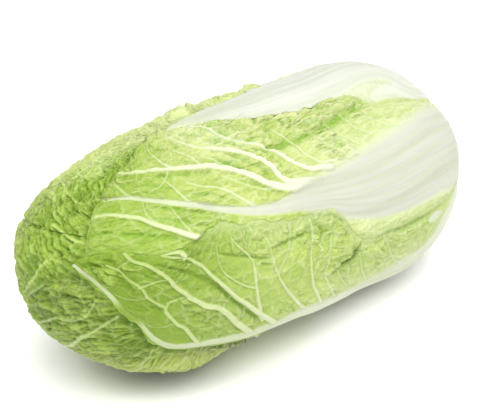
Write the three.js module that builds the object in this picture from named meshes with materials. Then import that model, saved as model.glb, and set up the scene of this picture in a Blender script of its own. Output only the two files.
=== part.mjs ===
// Napa cabbage head lying on its side, in millimetres, +Z up.
// The long axis of the head is X: the leaf tips are at -X, the cut stem butt at +X.
// The head is a nest of separate leaves round a conical stem. Every leaf is a closed shell that
// lies between two depths under the outer surface of the head, measured along a ray to the core.
// All leaves share one net of rays, so that a leaf under another one is parallel to it and clear of it.
import * as THREE from 'three';

// ---------------------------------------------------------------- driving dimensions (mm, degrees)
const LENGTH = 310;            // tip to cut butt
const TIP_RADIUS = 74.2;       // barrel radius where the tip cap starts
const BASE_RADIUS = 76.5;      // barrel radius where the shoulder starts
const TIP_CENTRE = -54.7;      // x of the centre of the tip cap
const SHOULDER = 74.9;         // x where the shoulder starts to close towards the butt
const TIP_POWER = 2.069;       // roundness of the tip cap (2 is an ellipse)
const SHOULDER_POWER = 1.9;    // roundness of the shoulder
const RIM_RADIUS = 27;         // radius of the head where the leaf bases meet the butt
const REST_DEPTH = 70.5;       // height of the axis over the surface that the head lies on
const TIP_LIFT = 5.7, TIP_SWAY = 10.1, BUTT_DROP = 1.4;   // slight bend of the whole head
const BUTT_RADIUS = 26.3;      // radius of the cut stem face
const STEM_REACH = 0.6;        // share of the ray length that the stem cone reaches inwards
const COLUMNS = 20;            // meridians in the net
const GAP = 0.45;              // clear space between neighbouring leaves
const BLADE = 2.0;             // thickness of the crinkled blade
const PETIOLE = [[0, 3.0], [14, 5.6], [45, 7.4], [110, 6.6], [180, 4.8], [240, 3.4], [310, 2.4], [420, 2.0]]; // [distance from base, thickness]
const PETIOLE_HALF = [[0, 24], [60, 23], [120, 17], [190, 9], [260, 5], [420, 3]];                            // [distance from base, half angle]

// Outlines: [distance from the base along the midrib, angle off the midrib], one table for each margin.
const PLAIN = [[0, 37], [70, 40], [130, 46], [175, 60], [220, 70], [270, 72], [310, 64], [335, 48], [350, 26], [358, 0]];
const OVER_TIP = [[0, 37], [70, 40], [130, 46], [175, 60], [220, 70], [290, 72], [335, 62], [362, 44], [378, 20], [385, 0]];
const mirrored = table => table.map(([m, b]) => [m, -b]);
const FRONT = {                       // the outermost leaf, low on the front; it leans over the front of the tip
  high: [[0, 34], [70, 32], [125, 34], [140, 35], [157, 40], [170, 54], [207, 60], [251, 61], [281, 59], [304, 51], [321, 43], [345, 38], [365, 33], [375, 26]],
  low: [[0, -34], [45, -27], [85, -23], [250, -23], [272, -17], [290, -6], [302, 8], [316, 14], [341, 19], [365, 21], [375, 26]],
};
const CROWN = {                       // the leaf beside it, whose broad white petiole runs up the front
  high: [[0, 37], [76, 41], [135, 40], [175, 44], [212, 59], [240, 66], [262, 66], [281, 57], [304, 40], [316, 24], [325, 8]],
  low: [[0, -37], [70, -42], [130, -56], [190, -66], [250, -66], [290, -44], [310, -22], [325, 8]],
};
const BACK = {                        // the back leaf, whose blade folds over the tip from behind
  high: [[0, 37], [70, 40], [130, 46], [175, 50], [220, 51], [270, 50], [310, 42], [340, 20], [359, 0], [376, -7], [395, -15], [408, -30]],
  low: [[0, -37], [76, -46], [113, -52], [150, -66], [186, -63], [217, -62], [240, -74], [257, -84], [300, -84], [350, -75], [375, -62], [400, -45], [408, -30]],
};
const BELOW = {                       // the leaf that the head lies on, folded over the tip from below
  high: [[0, 37], [70, 40], [130, 46], [175, 60], [220, 74], [250, 80], [300, 78], [336, 60], [368, 46], [388, 34], [400, 18], [406, 6]],
  low: [[0, -37], [70, -40], [130, -46], [175, -60], [220, -70], [290, -72], [335, -58], [365, -40], [390, -16], [406, 6]],
};
const plain = { high: PLAIN, low: mirrored(PLAIN) }, overTip = { high: OVER_TIP, low: mirrored(OVER_TIP) };

// name, azimuth of the midrib, outline, thickness factor, colour; from the outside in.
// Azimuth 0 is on top, 90 at the back (+Y), 270 at the front (-Y).
const LEAVES = [
  ['outer_leaf_1', 240, FRONT, 1.0, 0xb9d27f],
  ['outer_leaf_2', 304, CROWN, 1.0, 0xc0d888],
  ['outer_leaf_3', 92, BACK, 1.0, 0xb7d07c],
  ['outer_leaf_4', 164, BELOW, 1.0, 0xb4cd78],
  ['outer_leaf_5', 359, plain, 1.0, 0xc2da8c],
  ['wrapper_leaf_6', 212, overTip, 0.95, 0xa9c668],
  ['wrapper_leaf_7', 66, overTip, 0.95, 0xadc96c],
  ['wrapper_leaf_8', 283, overTip, 0.95, 0xb1cc72],
  ['wrapper_leaf_9', 138, overTip, 0.95, 0xb6d079],
  ['wrapper_leaf_10', 352, overTip, 0.95, 0xbad37f],
  ['inner_leaf_11', 190, plain, 0.9, 0xc6db8f],
  ['inner_leaf_12', 45, plain, 0.9, 0xcbde97],
  ['inner_leaf_13', 262, plain, 0.9, 0xd0e19f],
  ['inner_leaf_14', 118, plain, 0.9, 0xd5e4a7],
  ['inner_leaf_15', 332, plain, 0.9, 0xdae7af],
  ['heart_leaf_16', 170, plain, 0.9, 0xe0eab8],
  ['heart_leaf_17', 24, plain, 0.9, 0xe4ecbf],
  ['heart_leaf_18', 240, plain, 0.9, 0xe8eec6],
  ['heart_leaf_19', 95, plain, 0.9, 0xecf0cd],
];

// ---------------------------------------------------------------- small helpers
const RAD = Math.PI / 180;
const clamp = (v, lo, hi) => Math.min(hi, Math.max(lo, v));
const smooth = t => { t = clamp(t, 0, 1); return t * t * (3 - 2 * t); };
function along(table, x) {                       // piecewise linear table, held beyond its ends
  if (x <= table[0][0]) return table[0][1];
  for (let i = 1; i < table.length; i++) {
    if (x <= table[i][0]) {
      const [x0, y0] = table[i - 1], [x1, y1] = table[i];
      return y0 + (y1 - y0) * (x - x0) / (x1 - x0);
    }
  }
  return table[table.length - 1][1];
}

// ---------------------------------------------------------------- outer surface of the head
const HALF = LENGTH / 2, TIP_REACH = TIP_CENTRE + HALF;
const capRay = e => (Math.abs(Math.cos(e) / TIP_RADIUS) ** TIP_POWER + Math.abs(Math.sin(e) / TIP_REACH) ** TIP_POWER) ** (-1 / TIP_POWER);
const barrel = x => TIP_RADIUS + (BASE_RADIUS - TIP_RADIUS) * smooth((x - TIP_CENTRE) / (SHOULDER - TIP_CENTRE));
function shoulder(x) {
  const u = clamp((x - SHOULDER) / (HALF - SHOULDER), 0, 1);
  return RIM_RADIUS + (BASE_RADIUS - RIM_RADIUS) * (1 - u ** SHOULDER_POWER) ** (1 / SHOULDER_POWER);
}
// Profile from the tip to the rim of the butt: [x, radius, arc length from the tip, elevation on the cap].
const profile = [];
for (let i = 0; i <= 180; i++) { const e = (1 - i / 180) * Math.PI / 2, r = capRay(e); profile.push([TIP_CENTRE - r * Math.sin(e), r * Math.cos(e), 0, e]); }
for (let i = 1; i <= 100; i++) { const x = TIP_CENTRE + (SHOULDER - TIP_CENTRE) * i / 100; profile.push([x, barrel(x), 0, 0]); }
for (let i = 1; i <= 160; i++) { const x = SHOULDER + (HALF - SHOULDER) * Math.sin(i / 160 * Math.PI / 2); profile.push([x, shoulder(x), 0, 0]); }
for (let i = 1; i < profile.length; i++) profile[i][2] = profile[i - 1][2] + Math.hypot(profile[i][0] - profile[i - 1][0], profile[i][1] - profile[i - 1][1]);
const TOTAL_ARC = profile[profile.length - 1][2];
const arcAtX = profile.map(p => [p[0], p[2]]);
const arcAtElevation = profile.slice(0, 181).map(p => [p[3], p[2]]).reverse();

function bend(p) {                                // slight bend of the whole head
  const tip = Math.max(0, (-20 - p.x) / 130) ** 2, butt = Math.max(0, (p.x - 30) / 120) ** 2;
  return new THREE.Vector3(p.x, p.y + TIP_SWAY * tip, p.z + TIP_LIFT * tip - BUTT_DROP * butt);
}
function unbendHeight(x) {
  const tip = Math.max(0, (-20 - x) / 130) ** 2, butt = Math.max(0, (x - 30) / 120) ** 2;
  return TIP_LIFT * tip - BUTT_DROP * butt;
}

// ---------------------------------------------------------------- the net of rays
const RINGS = [];
for (const e of [72, 55, 39, 24, 10]) { const r = capRay(e * RAD); RINGS.push([TIP_CENTRE - r * Math.sin(e * RAD), r * Math.cos(e * RAD)]); }
for (const x of [-48, -18, 14, 46, SHOULDER]) RINGS.push([x, barrel(x)]);
for (const x of [105, 130, 147, HALF]) RINGS.push([x, shoulder(x)]);
const net = [];                                   // {outer, core, x, th}
function addRay(x, r, th) {
  const core = new THREE.Vector3(clamp(x, TIP_CENTRE, SHOULDER), 0, 0);
  const outer = new THREE.Vector3(x, r * Math.sin(th), r * Math.cos(th));
  outer.z = Math.max(outer.z, -REST_DEPTH - unbendHeight(x));      // pressed flat where the head lies
  net.push({ outer, core, x, th });
}
addRay(-HALF, 0, 0);
for (const [x, r] of RINGS) for (let c = 0; c < COLUMNS; c++) addRay(x, r, c / COLUMNS * 2 * Math.PI);
const node = (ring, col) => ring === 0 ? 0 : 1 + (ring - 1) * COLUMNS + ((col % COLUMNS) + COLUMNS) % COLUMNS;
const netTriangles = [];                          // outward facing
for (let c = 0; c < COLUMNS; c++) {
  netTriangles.push([0, node(1, c), node(1, c + 1)]);
  for (let k = 1; k < RINGS.length; k++) {
    const a = node(k, c), b = node(k, c + 1), d = node(k + 1, c), e = node(k + 1, c + 1);
    if ((k + c) % 2) netTriangles.push([a, d, e], [a, e, b]); else netTriangles.push([a, d, b], [b, d, e]);
  }
}
function under(i, depth) {                        // point on ray i at a depth under the outer surface
  const { outer, core } = net[i];
  const l = outer.distanceTo(core);
  return bend(core.clone().lerp(outer, Math.max(0, 1 - depth / l)));
}

// Position of ray i on a leaf: distance from the base along the midrib, and angle off the midrib.
function onLeaf(i, azimuth) {
  const { x, th } = net[i], t0 = azimuth * RAD;
  if (x >= TIP_CENTRE) {
    let b = (th - t0) % (2 * Math.PI);
    if (b > Math.PI) b -= 2 * Math.PI; if (b < -Math.PI) b += 2 * Math.PI;
    return [TOTAL_ARC - along(arcAtX, x), b / RAD];
  }
  const r = i === 0 ? 0 : Math.hypot(1e-9, RINGS[Math.floor((i - 1) / COLUMNS)][1]);
  const d = new THREE.Vector3(x - TIP_CENTRE, r * Math.sin(th), r * Math.cos(th)).normalize();
  const out = d.y * Math.sin(t0) + d.z * Math.cos(t0), side = d.y * Math.cos(t0) - d.z * Math.sin(t0);
  const turn = Math.atan2(-d.x, out);
  const s = along(arcAtElevation, Math.min(turn, Math.PI - turn));
  return [TOTAL_ARC - (turn > Math.PI / 2 ? -s : s), Math.asin(clamp(side, -1, 1)) / RAD];
}

// ---------------------------------------------------------------- leaf shells
const depth = net.map(() => 0);                   // how deep the next leaf starts on each ray
const neighbours = net.map(() => new Set());
for (const t of netTriangles) for (const a of t) for (const b of t) neighbours[a].add(b);

function shell(points, top, bottom, triangles) {  // closed body from a patch: outer face, inner face and rim
  const pos = [], id = new Map();
  const use = (k, inner) => {
    const key = k + (inner ? '#' : '');
    if (!id.has(key)) { id.set(key, pos.length / 3); const p = inner ? bottom(points.get(k)) : top(points.get(k)); pos.push(p.x, p.y, p.z); }
    return id.get(key);
  };
  const index = [], edge = new Map();
  for (const [a, b, c] of triangles) {
    index.push(use(a), use(b), use(c), use(c, 1), use(b, 1), use(a, 1));
    for (const [p, q] of [[a, b], [b, c], [c, a]]) { const back = q + '|' + p; if (edge.has(back)) edge.delete(back); else edge.set(p + '|' + q, [p, q]); }
  }
  for (const [p, q] of edge.values()) index.push(use(p), use(q, 1), use(q), use(p), use(p, 1), use(q, 1));
  const g = new THREE.BufferGeometry();
  g.setAttribute('position', new THREE.Float32BufferAttribute(pos, 3));
  g.setIndex(index);
  g.computeVertexNormals();
  return g;
}

function leaf(azimuth, { high, low }, factor) {
  const place = net.map((n, i) => onLeaf(i, azimuth));
  const inside = place.map(([m, b]) => {
    const room = Math.min(along(high, m) - b, b - along(low, m));
    return Math.abs(b) > 89 || m > high[high.length - 1][0] ? Math.min(room, -6) : room;
  });
  const thick = place.map(([m, b]) => {
    const half = along(PETIOLE_HALF, m);
    return factor * (BLADE + (along(PETIOLE, m) - BLADE) * smooth((half + 14 - Math.abs(b)) / 14));
  });
  const start = depth.slice();
  const points = new Map();
  const vertex = a => { points.set('v' + a, [a, a, 0]); return 'v' + a; };
  const cut = (a, b) => {                          // point where the outline crosses edge a-b
    if (a > b) [a, b] = [b, a];
    const key = 'e' + a + '_' + b;
    if (!points.has(key)) points.set(key, [a, b, clamp(inside[a] / (inside[a] - inside[b]), 0.14, 0.86)]);
    return key;
  };
  const triangles = [];
  for (const t of netTriangles) {
    const poly = [];
    for (let k = 0; k < 3; k++) {
      const a = t[k], b = t[(k + 1) % 3];
      if (inside[a] > 0) poly.push(vertex(a));
      if ((inside[a] > 0) !== (inside[b] > 0)) poly.push(cut(a, b));
    }
    for (let k = 2; k < poly.length; k++) triangles.push([poly[0], poly[k - 1], poly[k]]);
  }
  const at = (offset) => ([a, b, f]) => under(a, start[a] + offset * thick[a]).lerp(under(b, start[b] + offset * thick[b]), f);
  const geometry = shell(points, at(0), at(1), triangles);
  net.forEach((n, i) => { if ([...neighbours[i]].some(k => inside[k] > 0)) depth[i] += thick[i] + GAP; });
  return geometry;
}

const cabbage = new THREE.Group();
cabbage.name = 'napa_cabbage';
function add(name, geometry, colour, roughness) {
  const mesh = new THREE.Mesh(geometry, new THREE.MeshStandardMaterial({ color: colour, roughness, metalness: 0 }));
  mesh.name = name;
  cabbage.add(mesh);
}
for (const [name, azimuth, outline, factor, colour] of LEAVES) add(name, leaf(azimuth, outline, factor), colour, 0.5);

// ---------------------------------------------------------------- the closed bud in the middle of the heart
{
  const points = new Map(net.map((n, i) => ['v' + i, i]));
  const pos = [], index = [];
  const last = RINGS.length;
  net.forEach((n, i) => {
    const clear = i >= node(last, 0) ? n.outer.distanceTo(n.core) * STEM_REACH + 1.5 : 0;
    const p = under(i, Math.max(depth[i] + 0.6, clear)); pos.push(p.x, p.y, p.z);
  });
  const centre = pos.length / 3;
  let cx = 0, cy = 0, cz = 0;
  for (let c = 0; c < COLUMNS; c++) { const k = node(last, c) * 3; cx += pos[k] / COLUMNS; cy += pos[k + 1] / COLUMNS; cz += pos[k + 2] / COLUMNS; }
  pos.push(cx, cy, cz);
  for (const t of netTriangles) index.push(...t);
  for (let c = 0; c < COLUMNS; c++) index.push(centre, node(last, c + 1), node(last, c));
  const g = new THREE.BufferGeometry();
  g.setAttribute('position', new THREE.Float32BufferAttribute(pos, 3));
  g.setIndex(index);
  g.computeVertexNormals();
  add('heart_bud', g, 0xeef0d2, 0.5);
}

// ---------------------------------------------------------------- the stem with its cut face
{
  const scale = BUTT_RADIUS / RIM_RADIUS, reach = 1 - STEM_REACH;
  const inner = [SHOULDER + (HALF - SHOULDER) * reach, RIM_RADIUS * reach * scale];
  const outline = [[inner[0], 0], inner, [SHOULDER + (HALF - SHOULDER) * 0.7, RIM_RADIUS * 0.7 * scale], [HALF - 1.4, BUTT_RADIUS * 0.985], [HALF, BUTT_RADIUS - 1.6], [HALF, 0]];
  const g = new THREE.LatheGeometry(outline.map(([x, r]) => new THREE.Vector2(r, x)), COLUMNS);
  g.rotateZ(-Math.PI / 2);                         // lathe axis to +X
  const p = g.attributes.position;
  for (let i = 0; i < p.count; i++) { const q = bend(new THREE.Vector3(p.getX(i), p.getY(i), p.getZ(i))); p.setXYZ(i, q.x, q.y, q.z); }
  add('stem', g, 0xe6e2c4, 0.6);
}

// The origin is under the middle of the head, on the surface that it lies on.
const box = new THREE.Box3().setFromObject(cabbage);
cabbage.position.set(-(box.min.x + box.max.x) / 2, -(box.min.y + box.max.y) / 2, REST_DEPTH);
export default cabbage;
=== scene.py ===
# Napa cabbage lying on its side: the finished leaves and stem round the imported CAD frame.
import math
import bpy
import numpy as np
from mathutils import Matrix, Vector


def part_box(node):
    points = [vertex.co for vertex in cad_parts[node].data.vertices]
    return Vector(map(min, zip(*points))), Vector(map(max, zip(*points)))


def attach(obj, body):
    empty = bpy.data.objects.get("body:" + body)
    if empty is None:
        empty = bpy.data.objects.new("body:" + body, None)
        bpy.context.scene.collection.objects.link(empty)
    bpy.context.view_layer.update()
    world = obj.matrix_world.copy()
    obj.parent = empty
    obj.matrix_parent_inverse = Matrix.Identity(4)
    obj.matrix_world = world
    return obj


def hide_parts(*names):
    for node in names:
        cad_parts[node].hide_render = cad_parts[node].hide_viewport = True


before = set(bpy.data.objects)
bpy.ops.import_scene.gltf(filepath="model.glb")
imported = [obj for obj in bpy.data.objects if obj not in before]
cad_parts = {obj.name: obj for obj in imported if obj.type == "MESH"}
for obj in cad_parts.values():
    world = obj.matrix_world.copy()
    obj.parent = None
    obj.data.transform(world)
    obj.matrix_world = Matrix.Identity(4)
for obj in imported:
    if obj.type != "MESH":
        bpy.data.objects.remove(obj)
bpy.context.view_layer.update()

RES = 1.0          # mesh resolution factor

# ------------------------------------------------------------------ head shape (mm), the same as the CAD part
LENGTH = 310.0
TIP_RADIUS, BASE_RADIUS = 74.2, 76.5
TIP_CENTRE, SHOULDER = -54.7, 74.9
TIP_POWER, SHOULDER_POWER = 2.069, 1.9
RIM_RADIUS, REST_DEPTH = 27.0, 70.5
TIP_LIFT, TIP_SWAY, BUTT_DROP = 5.7, 10.1, 1.4
HALF = LENGTH / 2
TIP_REACH = TIP_CENTRE + HALF
D2R = math.pi / 180
STEM_LO, STEM_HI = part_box("stem")
SHIFT_X = STEM_HI.x * 1000 - HALF     # the CAD part is centred on its own box


def sm(t):
    t = np.clip(t, 0.0, 1.0)
    return t * t * (3 - 2 * t)


def ray_cap(e):
    return (np.abs(np.cos(e) / TIP_RADIUS) ** TIP_POWER + np.abs(np.sin(e) / TIP_REACH) ** TIP_POWER) ** (-1 / TIP_POWER)


def profile():
    e = np.linspace(math.pi / 2, 0, 600)
    r = ray_cap(e)
    xs, rs = [TIP_CENTRE - r * np.sin(e)], [r * np.cos(e)]
    x = np.linspace(TIP_CENTRE, SHOULDER, 300)[1:]
    xs.append(x); rs.append(TIP_RADIUS + (BASE_RADIUS - TIP_RADIUS) * sm((x - TIP_CENTRE) / (SHOULDER - TIP_CENTRE)))
    x = SHOULDER + (HALF - SHOULDER) * np.sin(np.linspace(0, math.pi / 2, 300))[1:]
    u = np.clip((x - SHOULDER) / (HALF - SHOULDER), 0, 1)
    xs.append(x); rs.append(RIM_RADIUS + (BASE_RADIUS - RIM_RADIUS) * (1 - u ** SHOULDER_POWER) ** (1 / SHOULDER_POWER))
    X, R = np.concatenate(xs), np.concatenate(rs)
    S = np.concatenate([[0], np.cumsum(np.hypot(np.diff(X), np.diff(R)))])
    return X, R, S, e, S[:600]


PX, PR, PS, CAP_E, CAP_S = profile()
TOTAL, S_CAP = PS[-1], CAP_S[-1]


def bend_terms(x):
    a = np.clip((-20 - x) / 130, 0, None) ** 2
    b = np.clip((x - 30) / 120, 0, None) ** 2
    return TIP_SWAY * a, TIP_LIFT * a - BUTT_DROP * b


def head_point(th0, m, beta):
    """Unflattened point on the head's outer surface for leaf azimuth th0 (deg), distance m from the base, angle beta (deg)."""
    t0 = th0 * D2R
    s = TOTAL - m
    b = beta * D2R
    x = np.interp(s, PS, PX); r = np.interp(s, PS, PR)
    th = t0 + b
    P1 = np.stack([x, r * np.sin(th), r * np.cos(th)], -1)
    el = np.interp(np.abs(s), CAP_S, CAP_E)
    psi = np.where(s < 0, math.pi - el, el)
    cb, sb, cp, sp = np.cos(b), np.sin(b), np.cos(psi), np.sin(psi)
    e = np.array([0, math.sin(t0), math.cos(t0)]); f = np.array([0, math.cos(t0), -math.sin(t0)])
    d = (cb * cp)[..., None] * e + (sb)[..., None] * f
    d[..., 0] -= cb * sp
    rr = ray_cap(np.arcsin(np.clip(cb * sp, -1, 1)))
    P2 = d * rr[..., None]; P2[..., 0] += TIP_CENTRE
    return np.where((s >= S_CAP)[..., None], P1, P2)


def leaf_coords(P, th0):
    """(m, beta) of unflattened head points on the leaf at azimuth th0."""
    t0 = th0 * D2R
    e = np.array([0, math.sin(t0), math.cos(t0)]); f = np.array([0, math.cos(t0), -math.sin(t0)])
    x = P[..., 0]; th = np.arctan2(P[..., 1], P[..., 2])
    b1 = (th - t0 + math.pi) % (2 * math.pi) - math.pi
    s1 = np.interp(x, PX, PS)
    d = P - np.array([TIP_CENTRE, 0, 0]); d = d / np.maximum(np.linalg.norm(d, axis=-1), 1e-9)[..., None]
    b2 = np.arcsin(np.clip(d @ f, -1, 1)); psi = np.arctan2(-d[..., 0], d @ e)
    sc = np.interp(np.minimum(psi, math.pi - psi), CAP_E[::-1], CAP_S[::-1])
    s2 = np.where(psi > math.pi / 2, -sc, sc)
    cap = x < TIP_CENTRE
    return TOTAL - np.where(cap, s2, s1), np.where(cap, b2, b1) / D2R


def flatten(P):
    """Presses the head flat where it lies, with a soft edge."""
    _, dz = bend_terms(P[..., 0])
    floor = -REST_DEPTH - dz
    k = 1.6
    q = (P[..., 2] - floor) / k
    z = floor + k * np.where(q > 12, q, np.log1p(np.exp(np.minimum(q, 12.0))))
    out = P.copy(); out[..., 2] = z
    return out


def rays(P):
    """Core point, direction and length of the ray through each flattened surface point."""
    F = flatten(P)
    O = np.zeros_like(F); O[..., 0] = np.clip(P[..., 0], TIP_CENTRE, SHOULDER)
    v = F - O
    l = np.linalg.norm(v, axis=-1)
    return O, v / np.maximum(l, 1e-9)[..., None], l


def place(O, d, l, depth):
    """World point (m) at a depth (mm) under the head's surface."""
    Q = O + d * np.maximum(l - depth, 0.5)[..., None]
    dy, dz = bend_terms(Q[..., 0])
    Q[..., 0] += SHIFT_X
    Q[..., 1] += dy
    z = Q[..., 2] + dz + REST_DEPTH
    Q[..., 2] = 0.15 + 0.5 * np.where(z > 6, (z - 0.15) / 0.5, np.log1p(np.exp(np.minimum((z - 0.15) / 0.5, 20.0))))
    return Q / 1000.0


# ------------------------------------------------------------------ seeded noise, all vectorised
def lattice(seed, n=64):
    return np.random.RandomState(seed).rand(n, n, n).astype(np.float32)


_LAT = {}


def noise3(x, y, z, seed):
    """Smooth value noise in -1..1."""
    if seed not in _LAT:
        _LAT[seed] = lattice(seed, 32)
    T = _LAT[seed]; n = 32
    xi, yi, zi = np.floor(x).astype(int), np.floor(y).astype(int), np.floor(z).astype(int)
    fx, fy, fz = sm(x - xi), sm(y - yi), sm(z - zi)
    a, b, c = xi % n, yi % n, zi % n
    a1, b1, c1 = (a + 1) % n, (b + 1) % n, (c + 1) % n
    v = ((T[a, b, c] * (1 - fx) + T[a1, b, c] * fx) * (1 - fy) + (T[a, b1, c] * (1 - fx) + T[a1, b1, c] * fx) * fy) * (1 - fz) \
        + ((T[a, b, c1] * (1 - fx) + T[a1, b, c1] * fx) * (1 - fy) + (T[a, b1, c1] * (1 - fx) + T[a1, b1, c1] * fx) * fy) * fz
    return v * 2 - 1


def noise2(x, y, seed):
    return noise3(x, y, np.full_like(x, seed * 0.37 % 7 + 0.5), seed % 5)


def fbm2(x, y, seed, octaves=3):
    v, a, t = 0.0, 1.0, 0.0
    for k in range(octaves):
        v = v + a * noise2(x * 2 ** k + 13.7 * k, y * 2 ** k - 7.1 * k, seed + k); t += a; a *= 0.5
    return v / t


def voronoi(x, y, seed, jitter=0.85):
    """Distance to the nearest cell border (about), and a random value for the cell, in cell units."""
    rs = np.random.RandomState(seed)
    JX, JY, JV = rs.rand(128, 128), rs.rand(128, 128), rs.rand(128, 128)
    xi, yi = np.floor(x).astype(int), np.floor(y).astype(int)
    f1 = np.full(x.shape, 1e9); f2 = np.full(x.shape, 1e9); val = np.zeros(x.shape)
    px1 = np.zeros(x.shape); py1 = np.zeros(x.shape); px2 = np.zeros(x.shape); py2 = np.zeros(x.shape)
    for dx in (-1, 0, 1):
        for dy in (-1, 0, 1):
            cx, cy = xi + dx, yi + dy
            qx = cx + 0.5 + jitter * (JX[cx % 128, cy % 128] - 0.5)
            qy = cy + 0.5 + jitter * (JY[cx % 128, cy % 128] - 0.5)
            d = (x - qx) ** 2 + (y - qy) ** 2
            near = d < f1
            second = (~near) & (d < f2)
            px2 = np.where(near, px1, np.where(second, qx, px2)); py2 = np.where(near, py1, np.where(second, qy, py2))
            f2 = np.where(near, f1, np.where(second, d, f2))
            px1 = np.where(near, qx, px1); py1 = np.where(near, qy, py1)
            val = np.where(near, JV[cx % 128, cy % 128], val)
            f1 = np.where(near, d, f1)
    gap = np.hypot(px2 - px1, py2 - py1)
    return (f2 - f1) / (2 * np.maximum(gap, 1e-6)), val


# ------------------------------------------------------------------ leaves: outline, petiole and veins
# Outline tables: (distance from the base, angle off the midrib). Azimuth 0 on top, 90 at the back, 270 at the front.
PLAIN_HI = [(0, 37), (70, 40), (130, 46), (175, 60), (220, 70), (270, 72), (310, 64), (335, 48), (350, 28), (358, 0)]
TIP_HI = [(0, 37), (70, 40), (130, 46), (175, 60), (220, 70), (290, 72), (335, 62), (362, 44), (378, 22), (386, 0)]


def neg(table):
    return [(m, -b) for m, b in table]


STD_PET = [(0, 0, 25), (60, 0, 24), (120, 0, 18), (170, 0, 11.5), (200, 0, 7), (230, 0, 4.2), (270, 0, 2.6), (320, 0, 1.6), (420, 0, 1.0)]

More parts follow.
